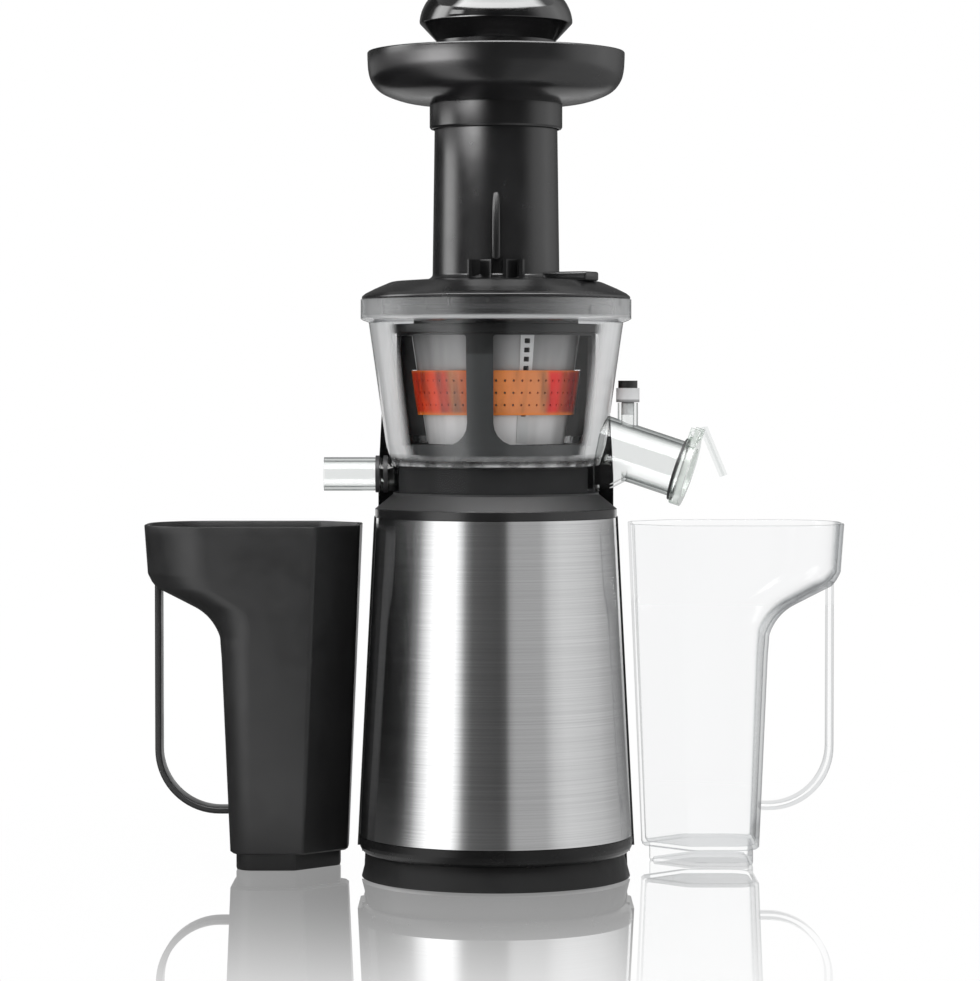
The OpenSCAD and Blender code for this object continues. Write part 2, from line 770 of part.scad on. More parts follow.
module control_board() color("#2f6b3f") {
    board_y = rear_depth - 15;
    translate([-24, board_y, z_box_top + 8]) cube([48, 1.6, 38]);
    translate([-18, board_y - 9, z_box_top + 12]) cube([14, 9, 12]);
    translate([4, board_y - 6, z_box_top + 30]) cube([12, 6, 12]);
    // posts that reach the curved back wall
    for (x = [-20, 20], z = [12, 42]) let(
        wall_r = bow_r - housing_wall - bow_draft * (z_box_top + z + 3 - z_trim) / (z_tower - z_trim),
        wall_y = bow_y + sqrt(pow(wall_r, 2) - pow(abs(x) + 2.5, 2))
    ) translate([x, board_y + 1.6, z_box_top + z]) rotate([-90, 0, 0])
        cylinder(h = wall_y - board_y - 1.6 - glue, r = 2.5);
}

module filter_capacitor() color("#2a3a66") {
    translate([10, rear_depth - 24, z_box_top + 10]) cylinder(h = 18, r = 7.5);
    translate([10, rear_depth - 17.5, z_box_top + 14]) rotate([-90, 0, 0]) cylinder(h = 2.5, r = 1);
    translate([10, rear_depth - 17.5, z_box_top + 24]) rotate([-90, 0, 0]) cylinder(h = 2.5, r = 1);
}

module cord_gland() color("#161616") difference() {
    translate([0, rear_depth + 2.5, z_gland]) rotate([90, 0, 0]) {
        cylinder(h = 12, r = gland_r - 1.6);
        cylinder(h = 2.5, r = gland_r);
    }
    translate([0, rear_depth + 3, z_gland]) rotate([90, 0, 0]) cylinder(h = 20, r = 3.2);
}

module switch_bezel() color("#0f0f10") difference() {
    union() {
        translate([-switch_w / 2, rear_depth - switch_depth, z_switch - switch_h / 2])
            cube([switch_w, switch_depth, switch_h]);
        translate([-switch_w / 2 - 1.5, rear_depth - 0.2, z_switch - switch_h / 2 - 1.5])
            cube([switch_w + 3, 1.7, switch_h + 3]);
    }
    translate([-rocker_w / 2 - 0.5, rear_depth - 9, z_switch - rocker_h / 2 - 0.8])
        cube([rocker_w + 1, 20, rocker_h + 1.6]);
    translate([0, rear_depth - 1, z_switch]) rotate([0, 90, 0])
        cylinder(h = rocker_w + 6, r = rocker_pin_r + running, center = true);
}

// The rocker tips about a pin across its middle.
module rocker_switch() color("#2b2b2d") translate([0, rear_depth - 1, z_switch]) {
    rotate([0, 90, 0]) cylinder(h = rocker_w + 5, r = rocker_pin_r, center = true);
    rotate([90, 0, 90]) translate([0, 0, -rocker_w / 2]) linear_extrude(rocker_w)
        polygon([[4, -rocker_h / 2], [2.2, 0], [4, rocker_h / 2], [-1, rocker_h / 2 - 1], [-4, 3],
            [-4, -3], [-1, 1 - rocker_h / 2]]);
}

// ---------- bowl ----------

module at_pulp() {
    rotate([0, 0, -pulp_turn]) translate([pulp_start_r, 0, z_pulp]) rotate([0, 90 + pulp_slope, 0])
        children();
}

module bowl_outside(grow = 0) {
    spin([
        [0, z_skirt], [skirt_r + grow, z_skirt], [skirt_r + grow, z_floor_low],
        [bowl_low_r - 1.5 + grow, z_floor + 2.5], [bowl_low_r + grow, z_cone],
        [bowl_high_r + grow, z_cone_top], [collar_r - 1.2 + grow, z_cone_top + 1],
        [collar_r + grow, z_collar], [collar_r + grow, z_rim], [0, z_rim]
    ]);
}

module bowl_inside() {
    spin([
        [0, z_floor], [skirt_r - bowl_wall, z_floor], [bowl_low_r - bowl_wall - 1.4, z_floor + 3],
        [bowl_low_r - bowl_wall, z_cone], [bowl_high_r - bowl_wall, z_cone_top],
        [bowl_high_r - bowl_wall, z_collar + 1], [collar_bore_r, z_collar + 1],
        [collar_bore_r, z_rim + 1], [0, z_rim + 1]
    ]);
}

module sump(grow, top) {
    x_in = sump_in_x - grow;
    translate([-sump_out_x - grow, -sump_half_w - grow + 1.6, z_sump + 1.8 - grow])
        cube([sump_out_x + grow - x_in, 2 * (sump_half_w + grow) - 3.2, top - z_sump - 1.8 + grow]);
}

// The channel that takes pulp from under the auger out to its spout.
module duct(grow, top) {
    rotate([0, 0, -pulp_turn]) translate([0, duct_half_w + grow, 0]) rotate([90, 0, 0])
        linear_extrude(2 * (duct_half_w + grow)) polygon([
            [duct_in_r - grow, z_duct + duct_wall - grow], [skirt_r + 6, z_duct + duct_wall - grow],
            [skirt_r + 13, z_duct + duct_wall + 3.6 - grow], [skirt_r + 13, top], [duct_in_r - grow, top]
        ]);
}

module bowl() color("#dfe6ea", 0.35) difference() {
    union() {
        difference() {
            bowl_outside();
            bowl_inside();
            translate([0, 0, z_skirt - 1]) difference() {
                cylinder(h = z_floor_low - z_skirt + 1, r = skirt_r - bowl_wall + 0.5);
                translate([0, 0, 1 - z_skirt]) sump(sump_wall, z_floor);
                translate([0, 0, 1 - z_skirt]) duct(duct_wall, z_floor);
            }
        }
        translate([0, 0, z_floor_low]) cylinder(h = z_hub - z_floor_low, r = hub_r);
    }
    translate([0, 0, z_floor_low - 1]) cylinder(h = 20, r = hub_bore_r);
    sump(0, z_floor + 1);
    juice_bore();
    duct(0, z_floor_low);
    intersection() {
        duct(0, z_floor + 1);
        cylinder(h = big * 2, r = duct_in_r + 14);
    }
    around(lug_count, 45) lock_pocket();
}

module juice_bore() {
    translate([-juice_spout_reach - 1, 0, z_juice]) rotate([0, 90, 0])
        cylinder(h = juice_spout_reach - sump_in_x - 3, r = juice_spout_r - spout_wall);
}

// Tube welded to the skirt in front of the sump.
module juice_spout() color("#dfe6ea", 0.35) difference() {
    translate([-juice_spout_reach, 0, z_juice]) rotate([0, 90, 0])
        cylinder(h = juice_spout_reach - skirt_r + 4, r = juice_spout_r);
    juice_bore();
    bowl_outside(seam);
}

// Tube, the outer end of the duct under it and the post of the port plug.
module pulp_spout() color("#dfe6ea", 0.35) difference() {
    union() {
        at_pulp() cylinder(h = pulp_spout_len, r = pulp_spout_r);
        duct(duct_wall, z_floor - 1);
        rotate([0, 0, -pulp_turn]) translate([post_start_r, 0, z_floor + 14])
            cylinder(h = z_post - z_floor - 14, r = post_r);
    }
    bowl_outside(seam);
    at_pulp() translate([0, 0, -1]) cylinder(h = pulp_spout_len + 2, r = pulp_spout_r - spout_wall);
    duct(0, z_floor_low);
    rotate([0, 0, -pulp_turn]) translate([post_start_r, 0, z_floor + 12]) cylinder(h = 40, r = plug_lift_r);
}

// Where a lid lug turns under the collar and comes out at the end of its turn.
module lock_pocket() {
    pocket_r = collar_bore_r + lug_out;
    spin([
        [collar_bore_r - 1, z_lug - gap], [pocket_r, z_lug - gap],
        [pocket_r, z_lug + lug_h + gap], [collar_bore_r - 1, z_lug + lug_h + gap]
    ], lug_angle + lock_turn + 2, -1);
    spin([
        [collar_bore_r - 1, z_lug], [pocket_r - 0.1, z_lug],
        [pocket_r - 0.1, z_rim + 1], [collar_bore_r - 1, z_rim + 1]
    ], lug_angle + 1.6, lock_turn - 0.8);
}

module bowl_shaft_seal() color("#3a3c3e") {
    ring(z_floor_low, 4, hub_bore_r, drive_r + running);
}

module idler_pins() color("#c3c6c9") for (y = [-1, 1])
    translate([0, y * idler_centre, z_floor]) cylinder(h = rest_gap + bowl_gear_h + 0.4, r = idler_pin_r);

module juice_spout_seal() color("#3b3c3e") {
    for (x = [-skirt_r - 4.4, -skirt_r - 8.4]) translate([x, 0, z_juice]) rotate([0, 90, 0]) difference() {
        cylinder(h = 2, r = juice_spout_r + 0.9);
        translate([0, 0, -1]) cylinder(h = 4, r = juice_spout_r);
    }
}

module pulp_spout_gasket() color("#141414") at_pulp() {
    ring(pulp_spout_len - gasket_t, gasket_t, pulp_ring_r - 1.4, pulp_spout_r);
}

module pulp_spout_ring() color("#dfe6e4", 0.4) at_pulp() difference() {
    union() {
        translate([0, 0, pulp_spout_len]) cylinder(h = pulp_ring_h, r = pulp_ring_r);
        for (y = [-flap_w / 2, flap_w / 2 - 3]) translate([-flap_hinge_up - 2.4, y, pulp_spout_len])
            cube([9, 3, pulp_ring_h - 0.6]);
    }
    translate([0, 0, pulp_spout_len - 1]) cylinder(h = pulp_ring_h + 2, r = pulp_spout_r - spout_wall);
    translate([-flap_hinge_up, 0, flap_hinge_along]) rotate([90, 0, 0])
        cylinder(h = flap_w + 8, r = flap_pin_r + running, center = true);
}

// The flap is drawn closed over the ring's end, then swung open about its pin.
module pulp_flap() color("#e3eae6", 0.35) at_pulp()
    translate([-flap_hinge_up, 0, flap_hinge_along]) rotate([0, -flap_open, 0]) {
        face = pulp_ring_h + pulp_spout_len - flap_hinge_along + 0.6;
        rotate([90, 0, 0]) cylinder(h = flap_w, r = flap_pin_r, center = true);
        translate([-1.2, -flap_w / 2 + 3.4, -0.6]) cube([2.4, flap_w - 6.8, face + flap_t + 0.6]);
        translate([-1.2, -flap_w / 2, face]) cube([flap_len, flap_w, flap_t]);
    }

module port_plug() color("#9a9c9d") rotate([0, 0, -pulp_turn]) translate([post_start_r, 0, 0]) {
    translate([0, 0, z_post + rest_gap]) cylinder(h = plug_h, r = plug_r);
    translate([0, 0, z_post - 6]) cylinder(h = 6.4, r = plug_lift_r - 0.1);
}

module port_plug_cap() color("#151515") rotate([0, 0, -pulp_turn])
    translate([post_start_r, 0, z_post + rest_gap + plug_h]) cylinder(h = plug_cap_h, r = plug_r - 1);

// ---------- strainer and brush ----------

module strainer() color("#8f9395", 0.8) difference() {
    union() {
        spin([
            [0, z_strainer], [strainer_low_r, z_strainer], [strainer_high_r, z_strainer_top],
            [strainer_high_r + flange_out, z_strainer_top], [strainer_high_r + flange_out,
                z_strainer_top + flange_t],
            [strainer_high_r - strainer_wall, z_strainer_top + flange_t],
            [strainer_high_r - strainer_wall, z_strainer_top],
            [strainer_low_r - strainer_wall, z_strainer + strainer_plate_t], [0,
                z_strainer + strainer_plate_t]
        ]);
        intersection() {
            duct_chimney(1.4, z_floor + e, z_strainer + 1);
            cylinder(h = big * 2, r = duct_in_r + 15.4);
        }
        translate([-31, -4, z_floor]) cube([10, 8, z_strainer - z_floor + 1]);
    }
    translate([0, 0, z_strainer - 1]) cylinder(h = 4, r = strainer_hole_r);
    intersection() {
        duct_chimney(0, z_floor - 1, z_strainer + strainer_plate_t + 1);
        cylinder(h = big * 2, r = duct_in_r + 13);
    }
    strainer_slots(z_band + 3, band_h - 6);
}

module duct_chimney(grow, z0, z1) {
    rotate([0, 0, -pulp_turn]) translate([duct_in_r - grow, -duct_half_w + 1.5 - grow, z0])
        cube([16 + 2 * grow, 2 * (duct_half_w - 1.5 + grow), z1 - z0]);
}

module strainer_slots(z, h) {
    around(strainer_slots, 180 / strainer_slots) translate([strainer_low_r - 5, -0.7, z]) cube([20, 1.4, h]);
}

module strainer_band() color("#d4521c", 0.85) difference() {
    spin([
        [strainer_r(z_band) + seam, z_band], [band_r(z_band), z_band],
        [band_r(z_band + band_h), z_band + band_h], [strainer_r(z_band + band_h) + seam, z_band + band_h]
    ]);
    strainer_slots(z_band + 3, band_h - 6);
}

module brush_frame() color("#3d3f41") difference() {
    spin(concat(
        frame_line,
        [[frame_top_r, z_frame_ring], [frame_top_r, z_frame_top],
            [strainer_high_r + flange_out + gap + 0.3, z_frame_top],
            [strainer_high_r + flange_out + gap + 0.3, z_frame_ring]],
        [[frame_line[3][0] - frame_wall, z_frame_ring - 3], [frame_line[2][0] - frame_wall, frame_line[2][1]],
            [frame_line[1][0] - frame_wall, frame_line[1][1]], [ring_gear_r + 0.05,
                z_bowl_gear + bowl_gear_h + 0.4],
            [ring_gear_r + 0.05, z_frame]]
    ));
    for (i = [0:3]) frame_window(270 - frame_turn + 90 * i);
    wiper_bodies(0);
}

// One opening, between two bars whose middles are a quarter turn apart.
module frame_window(start) {
    half = asin(frame_bar_w / 2 / frame_line[2][0]);
    spin([
        [ring_gear_r - 6, frame_line[1][1]], [frame_top_r + 3, frame_line[1][1]],
        [frame_top_r + 3, z_frame_ring - 1], [ring_gear_r - 6, z_frame_ring - 1]
    ], 90 - 2 * half, start + half);
}

module wiper_bodies(grow) {
    for (a = [0, 180]) rotate([0, 0, -frame_turn + a]) translate([0, wiper_t / 2 + grow, 0])
        rotate([90, 0, 0])
        linear_extrude(wiper_t + 2 * grow) polygon([
            [strainer_r(z_strainer + 4) + 0.5, z_strainer + 4],
            [frame_line[1][0] + wiper_proud, z_strainer + 4],
            [frame_line[2][0] + wiper_proud, frame_line[2][1]],
            [frame_line[3][0] + wiper_proud, z_frame_ring - 2],
            [strainer_r(z_frame_ring - 2) + 0.6, z_frame_ring - 2],
            [strainer_r(z_band + band_h + 1) + 0.5, z_band + band_h + 1],
            [band_r(z_band + band_h) + 0.6, z_band + band_h + 1],
            [band_r(z_band) + 0.5, z_band - 1], [strainer_r(z_band - 1) + 0.5, z_band - 1]
        ]);
}

module wipers() color("#5d6164") wiper_bodies(0);

module brush_ring_gear() color("#6a6d70") translate([0, 0, z_bowl_gear]) linear_extrude(bowl_gear_h)
    difference() {
    circle(r = ring_gear_r, $fn = 100);
    rotate(180 / ring_teeth) polygon(gear_outline(ring_teeth, bowl_module, -tooth_play / 2, 1.15, 0.85));
}

module idler(y) translate([0, y, z_bowl_gear])
    gear(idler_teeth, bowl_module, bowl_gear_h, 0.9, idler_pin_r + running);

module front_idler_gear() color("#d9d9d4") idler(-idler_centre);
module rear_idler_gear() color("#d9d9d4") idler(idler_centre);

module auger_gear() color("#c9c9c4") translate([0, 0, z_bowl_gear])
    gear(sun_teeth, bowl_module, bowl_gear_h, 0.9, hub_r + 0.6);

module auger() color("#55595c") difference() {
    union() {
        translate([0, 0, z_bowl_gear + bowl_gear_h]) cylinder(h = z_auger - z_bowl_gear - bowl_gear_h + e,
            r = strainer_hole_r - gap);
        spin([
            [0, z_auger], [strainer_low_r - strainer_wall - flight_gap, z_auger],
            [strainer_low_r - strainer_wall - flight_gap, z_auger + 3], [auger_low_r, z_auger + 4],
            [auger_high_r, z_auger + auger_h], [auger_pin_r + 2, z_auger_top],
            [auger_pin_r, z_auger_top], [auger_pin_r, z_pin_top], [0, z_pin_top]
        ]);
        translate([0, 0, z_auger + 2]) linear_extrude(auger_h - 2, twist = -360 * flight_turns,
            scale = strainer_high_r / strainer_low_r, slices = 40, convexity = 4, $fn = 12)
            square([2 * (strainer_low_r - strainer_wall - flight_gap), flight_t], center = true);
    }
    translate([0, 0, z_bowl_gear]) cylinder(h = z_hub + 0.5 - z_bowl_gear, r = hub_r + 0.6);
    translate([0, 0, z_hub]) cylinder(h = hex_h + 2, r = drive_r + 0.15, $fn = hexagon);
}

// ---------- lid, tray, pusher ----------

module lid() color("#1c1d1f") difference() {
    union() {
        difference() {
            spin([
                [0, z_hopper], [hopper_r + hopper_wall, z_hopper], [hopper_r + hopper_wall, z_lid + 7],
                [lid_r - 16, z_lid + 6.2], [lid_r - 8, z_lid + 2.6], [skirt_out_r - skirt_wall, z_lid + 1.4],
                [skirt_out_r - skirt_wall, z_lid - skirt_h],
                [skirt_out_r, z_lid - skirt_h], [skirt_out_r, z_lid], [lid_r, z_lid], [lid_r - 0.3,
                    z_lid + 1.3],
                [lid_r - 2, z_lid + 2.7], [lid_r - 7, z_lid + 5.2], [lid_r - 15.2, z_lid + 8.7],
                    [chute_r + 2.4, z_dome],
                [chute_r + 0.5, z_dome + 1.6], [chute_top_r, z_chute_top], [0, z_chute_top]
            ]);
            spin([
                [0, z_hopper - 1], [hopper_r, z_hopper - 1], [hopper_r, z_lid - 2], [chute_bore_r, z_lid + 5],
                [chute_bore_r, z_chute_top + 1], [0, z_chute_top + 1]
            ]);
        }
        around(lug_count, 45) spin([
            [skirt_out_r - 0.5, z_lug], [skirt_out_r + lug_out, z_lug],
            [skirt_out_r + lug_out, z_lug + lug_h], [skirt_out_r - 0.5, z_lug + lug_h]
        ], lug_angle);
        // bridge that carries the auger's top pin
        translate([-chute_bore_r - 1, -bridge_w / 2, z_bridge]) cube([2 * chute_bore_r + 2, bridge_w,
            bridge_h]);
        translate([0, 0, z_bridge]) cylinder(h = bridge_h, r = bushing_r + 3);
        chute_rib();
        fluted_block();
        lid_tab();
    }
    translate([0, 0, z_bridge - 1]) cylinder(h = bridge_h - 1, r = bushing_r);
    ring(z_lid - skirt_h + 2, 2.4, skirt_out_r + 1, skirt_out_r - 1.2);
}

module chute_rib() {
    translate([-2, 0, z_dome + 8.6]) rotate([90, 0, 90]) linear_extrude(4)
        polygon([[-chute_r + 1, 0], [-chute_r - 5, 0], [-chute_r - 4.4, 14], [-chute_r + 0.6, 36]]);
}

module fluted_block() {
    difference() {
        translate([-14.2, -chute_r - 5, z_dome - 0.6]) cube([28.4, 12, 9.4]);
        translate([0, 0, z_dome - 2]) cylinder(h = 14, r = chute_r - 1);
        for (x = [-11.5, -4, 4, 9.5]) translate([x, -chute_r - 6, z_dome + 0.6]) cube([2.4, 2.2, 7]);
    }
}

module lid_tab() {
    rotate([0, 0, -30]) translate([chute_r - 1.5, -7, z_dome - 1.5]) cube([25, 14, 4.6]);
}

module lid_gasket() color("#4b4d4f") {
    ring(z_lid - skirt_h + 2, 2.4, skirt_out_r + 0.2, skirt_out_r - 1.2);
}

module lid_bushing() color("#b9a173") {
    ring(z_bridge - 1, bridge_h - 1, bushing_r, auger_pin_r + running);
}

module feed_tray() color("#1b1c1e") difference() {
    spin([
        [tray_bore_r, z_tray], [tray_collar_r - 0.6, z_tray], [tray_collar_r, z_tray + 1],
        [tray_collar_r, z_dish], [tray_collar_r + 4, z_dish], [tray_r - 9.3, z_dish + 4],
        [tray_r - 4, z_dish + 8.5], [tray_r - 1.3, z_dish + 15], [tray_r, z_dish + dish_h - 1],
        [tray_r, z_dish + dish_h], [tray_r - 1.7, z_dish + dish_h], [tray_r - 3.1, z_dish + 15.5],
        [tray_r - 5.6, z_dish + 10.5], [tray_r - 10, z_dish + 6.6], [tray_collar_r + 4, z_dish + 3],
        [tray_collar_r, z_dish + 3], [tray_collar_r, z_chute_top + rest_gap + throat_h],
        [chute_bore_r, z_chute_top + rest_gap + throat_h], [chute_bore_r, z_chute_top + rest_gap],
        [tray_bore_r, z_chute_top + rest_gap]
    ]);
}

module pusher_tube() color("#202123") difference() {
    union() {
        translate([0, 0, z_pusher]) cylinder(h = z_neck - z_pusher + e, r = pusher_r);
        translate([0, 0, z_neck]) cylinder(h = neck_h, r = neck_r);
    }
    translate([0, 0, z_pusher + pusher_wall]) cylinder(h = big, r = pusher_r - pusher_wall);
}

module pusher_head() color("#0d0d0e") difference() {
    spin([
        [0, z_head], [neck_r, z_head], [head_r, z_head + 9.3], [head_r - 0.3, z_head + 11.3],
        [head_r - 1.4, z_head + 15.1], [head_r - 3.6, z_head + 19.6], [head_r - 7.2, z_head + 23.4],
        for (a = [65:5:90])
            [(head_r - 7.2) * (90 - a) / 25, z_head + 23.4 + (head_h - 23.4) * sin((a - 65) * 3.6)]
    ]);
    translate([0, 0, z_head - 1]) cylinder(h = 12, r = pusher_r - pusher_wall);
}

// ---------- jugs ----------
// A jug is drawn with its flat side at x = 0 and its handle towards +X.

// Half outline for a hull: chamfered corners at the flat side, round ones at the handle side.
module jug_slice(x0, x1, half_w, round, z, inset) {
    translate([0, 0, z]) linear_extrude(e) {
        polygon([
            [x0 + inset, -half_w + jug_chamfer], [x0 + jug_chamfer, -half_w + inset],
            [x1 - round, -half_w + inset], [x1 - round, half_w - inset],
            [x0 + jug_chamfer, half_w - inset], [x0 + inset, half_w - jug_chamfer]
        ]);
        for (s = [-1, 1]) translate([x1 - round, s * (half_w - round)]) circle(r = round - inset,
            $fn = hull_fn);
    }
}

module jug_envelope(inset, z0, z1) {
    foot_half = jug_foot_w / 2;
    hull() {
        jug_slice(jug_side_draft, jug_side_draft + jug_body_len, foot_half, 12, z0, inset);
        jug_slice(0, jug_body_len + 18, jug_w / 2, 16, z1, inset);
    }
    hull() {
        jug_slice(12, jug_len, jug_w / 2 - 8, 30, jug_flare_z + inset, inset);
        jug_slice(12, jug_len, jug_w / 2 - 0.2, 34, z1, inset);
    }
}

// The raised foot, with chamfers at the flat side and round corners at the handle side.
module jug_foot(x0, x1, half_w, round) {
    linear_extrude(jug_foot_h + 1) polygon([
        [x0, -half_w + jug_chamfer], [x0 + jug_chamfer, -half_w], [x1 - round, -half_w],
        [x1 - round, -half_w + round], [x1, -half_w + round], [x1, half_w - round],
        [x1 - round, half_w - round], [x1 - round, half_w], [x0 + jug_chamfer, half_w], [x0,
            half_w - jug_chamfer]
    ]);
    for (s = [-1, 1]) translate([x1 - round, s * (half_w - round), 0]) cylinder(h = jug_foot_h + 1,
        r = round);
}

// Side view of the jug's body, seen along Y.
module jug_profile(inset, z0, z1) {
    side_x = jug_side_draft + jug_body_len - inset;
    rotate([90, 0, 0]) linear_extrude(big, center = true) polygon([
        [-5, z0], [side_x, z0], [side_x + jug_side_flare, jug_undercut_z],
        for (a = [165:-15:120]) [
            side_x + jug_side_flare + jug_fillet_r * (1 + cos(a)) + (165 - a) * 0.03,
            jug_undercut_z + 4 + jug_fillet_r * sin(a)
        ],
        jug_lip + [-inset, 0.8 * inset], jug_lip_top - [inset, 0], [jug_len + 2, z1], [-5, z1]
    ]);
}

module jug_body() {
    difference() {
        union() {
            intersection() {
                jug_envelope(0, jug_foot_h, jug_h - e);
                jug_profile(0, jug_foot_h, jug_h);
            }
            jug_foot(jug_side_draft + 4, jug_side_draft + jug_body_len - 3, jug_foot_w / 2 - 4, 9);
        }
        intersection() {
            jug_envelope(jug_wall, jug_foot_h - 1, jug_h + e);
            jug_profile(jug_wall, jug_foot_h + jug_wall, jug_h + 1);
        }
    }
}

function bend(x, z, r, a0, a1, steps) =
    [for (i = [0:steps]) let(a = between(a0, a1, i / steps)) [x + r * cos(a), z + r * sin(a)]];

module jug_strap() {
    outer_x = jug_len - strap_out;
    bend_x = outer_x - strap_bend_r;
    bend_z = z_strap + strap_bend_r;
    body_x = jug_side_draft + jug_body_len + 1.2;
    lip_rise = (jug_lip_top[1] - jug_lip[1]) / (jug_lip_top[0] - jug_lip[0]);
    under_rise = (jug_lip[1] - jug_fillet_end[1]) / (jug_lip[0] - jug_fillet_end[0]);
    translate([0, strap_w / 2, 0]) rotate([90, 0, 0]) linear_extrude(strap_w) polygon(concat(
        [
            [outer_x - strap_t, jug_lip[1] + (outer_x - strap_t - jug_lip[0]) * under_rise - glue],
            jug_lip - [0, glue],
            [outer_x, jug_lip[1] + (outer_x - jug_lip[0]) * lip_rise - glue]
        ],
        bend(bend_x, bend_z, strap_bend_r, 0, -90, 15),
        [[body_x, z_strap], [body_x, z_strap + strap_t]],
        bend(bend_x, bend_z, strap_bend_r - strap_t, -90, 0, 15)
    ));
}

module at_black_jug() translate([-jug_gap, black_jug_back, 0]) mirror([1, 0, 0]) children();
module at_clear_jug() translate([jug_gap, clear_jug_back, 0]) children();

module black_jug() color("#161617") at_black_jug() jug_body();
module black_jug_handle() color("#161617") at_black_jug() jug_strap();
module clear_jug() color("#e8eef0", 0.3) at_clear_jug() jug_body();
module clear_jug_handle() color("#e8eef0", 0.3) at_clear_jug() jug_strap();

foot_ring();
base_plate();
base_screws();
lower_trim();
rear_housing();
steel_wrap();
top_deck();
deck_screws();
seat_seal();
shaft_seal();
motor_can();
motor_magnets();
motor_end_bell();
motor_bearings();
gearbox_housing();
gearbox_cover();
gearbox_screws();
counter_pin();
output_bearings();
control_board();
filter_capacitor();
cord_gland();
switch_bezel();
motor_shaft();
rotor_core();
rotor_windings();
motor_pinion();
cooling_fan();
cluster_gear();
output_gear();
drive_shaft();
rocker_switch();
bowl();
juice_spout();
pulp_spout();
bowl_shaft_seal();
idler_pins();
strainer();
strainer_band();
juice_spout_seal();
pulp_spout_gasket();
pulp_spout_ring();
auger();
auger_gear();
brush_frame();
brush_ring_gear();
wipers();
front_idler_gear();
rear_idler_gear();
pulp_flap();
port_plug();
port_plug_cap();
lid();
lid_gasket();
lid_bushing();
feed_tray();
pusher_tube();
pusher_head();
black_jug();
black_jug_handle();
clear_jug();
clear_jug_handle();
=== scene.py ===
import bpy, bmesh
from math import sin, cos, tan, pi, radians
from mathutils import Vector, Matrix


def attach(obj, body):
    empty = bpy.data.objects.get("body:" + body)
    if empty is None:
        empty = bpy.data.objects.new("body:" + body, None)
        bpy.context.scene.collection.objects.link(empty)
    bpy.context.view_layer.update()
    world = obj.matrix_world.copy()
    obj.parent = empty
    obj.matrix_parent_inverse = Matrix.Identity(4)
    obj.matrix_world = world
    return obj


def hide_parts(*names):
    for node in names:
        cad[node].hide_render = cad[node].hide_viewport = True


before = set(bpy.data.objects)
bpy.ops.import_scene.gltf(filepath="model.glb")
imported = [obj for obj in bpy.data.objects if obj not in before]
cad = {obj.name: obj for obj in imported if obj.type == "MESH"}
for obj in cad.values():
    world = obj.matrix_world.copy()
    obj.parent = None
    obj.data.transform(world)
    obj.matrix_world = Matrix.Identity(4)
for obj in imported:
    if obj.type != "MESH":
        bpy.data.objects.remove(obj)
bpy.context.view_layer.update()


# ---------- studio ----------
# A white sweep with a polished floor, light cards in a ring round the machine and a canopy over it,
# seen through a long lens at table height.
MM = 0.001
STUDIO_R = 750
EYE, AIM = Vector((-0.003, -1.8, 0.249)), Vector((-0.003, 0, 0.194))
camera = bpy.data.objects.new("camera", bpy.data.cameras.new("camera"))
bpy.context.scene.collection.objects.link(camera)
camera.location = EYE
camera.rotation_euler = (AIM - EYE).to_track_quat("-Z", "Y").to_euler()
camera.data.lens = 132
camera.data.sensor_width = 36
camera.data.clip_end = 30
bpy.context.scene.camera = camera
bpy.context.scene.view_settings.view_transform = "Standard"


def wire(tree, a, b):
    """Link an output to an input, each given as (node, socket)."""
    tree.links.new(a[0].outputs[a[1]], b[0].inputs[b[1]])


def feed(tree, source, target):
    """Link (node, socket) to an input, or set a plain value on it."""
    if isinstance(source, tuple) and isinstance(source[0], bpy.types.Node):
        wire(tree, source, target)
    else:
        target[0].inputs[target[1]].default_value = source


def new_node(tree, kind, **settings):
    node = tree.nodes.new(kind)
    for key, value in settings.items():
        setattr(node, key, value)
    return node


def calc(tree, how, first, *others):
    """Math nodes in a row, as in first + second + third. Each is a number or (node, socket)."""
    for other in others or (0.0,):
        node = new_node(tree, "ShaderNodeMath", operation=how)
        feed(tree, first, (node, 0))
        feed(tree, other, (node, 1))
        first = (node, 0)
    return first


def remap(tree, source, from_low, from_high, to_low=0.0, to_high=1.0, kind="LINEAR"):
    """Map one span of values to another."""
    node = new_node(tree, "ShaderNodeMapRange", interpolation_type=kind)
    for key, value in (("From Min", from_low), ("From Max", from_high), ("To Min", to_low), ("To Max", to_high)):
        node.inputs[key].default_value = value
    wire(tree, source, (node, "Value"))
    return (node, 0)


def ramp(tree, source, stops, ease="LINEAR"):
    """A Color Ramp with stops given as (place, colour or grey)."""
    node = new_node(tree, "ShaderNodeValToRGB")
    node.color_ramp.interpolation = ease
    marks = node.color_ramp.elements
    while len(marks) < len(stops):
        marks.new(0.5)
    for mark, (place, shade) in zip(marks, stops):
        mark.position = place
        mark.color = (*shade, 1) if isinstance(shade, tuple) else (shade, shade, shade, 1)
    wire(tree, source, (node, 0))
    return (node, 0)


def colour_mix(tree, share, a, b, how="MIX"):
    node = new_node(tree, "ShaderNodeMix", data_type="RGBA", blend_type=how)
    for source, socket in ((share, "Factor"), (a, 6), (b, 7)):
        feed(tree, source, (node, socket))
    return (node, 2)


def shader_mix(tree, share, a, b):
    node = new_node(tree, "ShaderNodeMixShader")
    for socket, source in enumerate((share, a, b)):
        feed(tree, source, (node, socket))
    return (node, 0)


world = bpy.data.worlds.new("studio")
bpy.context.scene.world = world
world.use_nodes = True
sky = world.node_tree
sky.nodes.clear()
rays = new_node(sky, "ShaderNodeLightPath")
split = new_node(sky, "ShaderNodeSeparateXYZ")
wire(sky, (new_node(sky, "ShaderNodeTexCoord"), "Generated"), (split, 0))
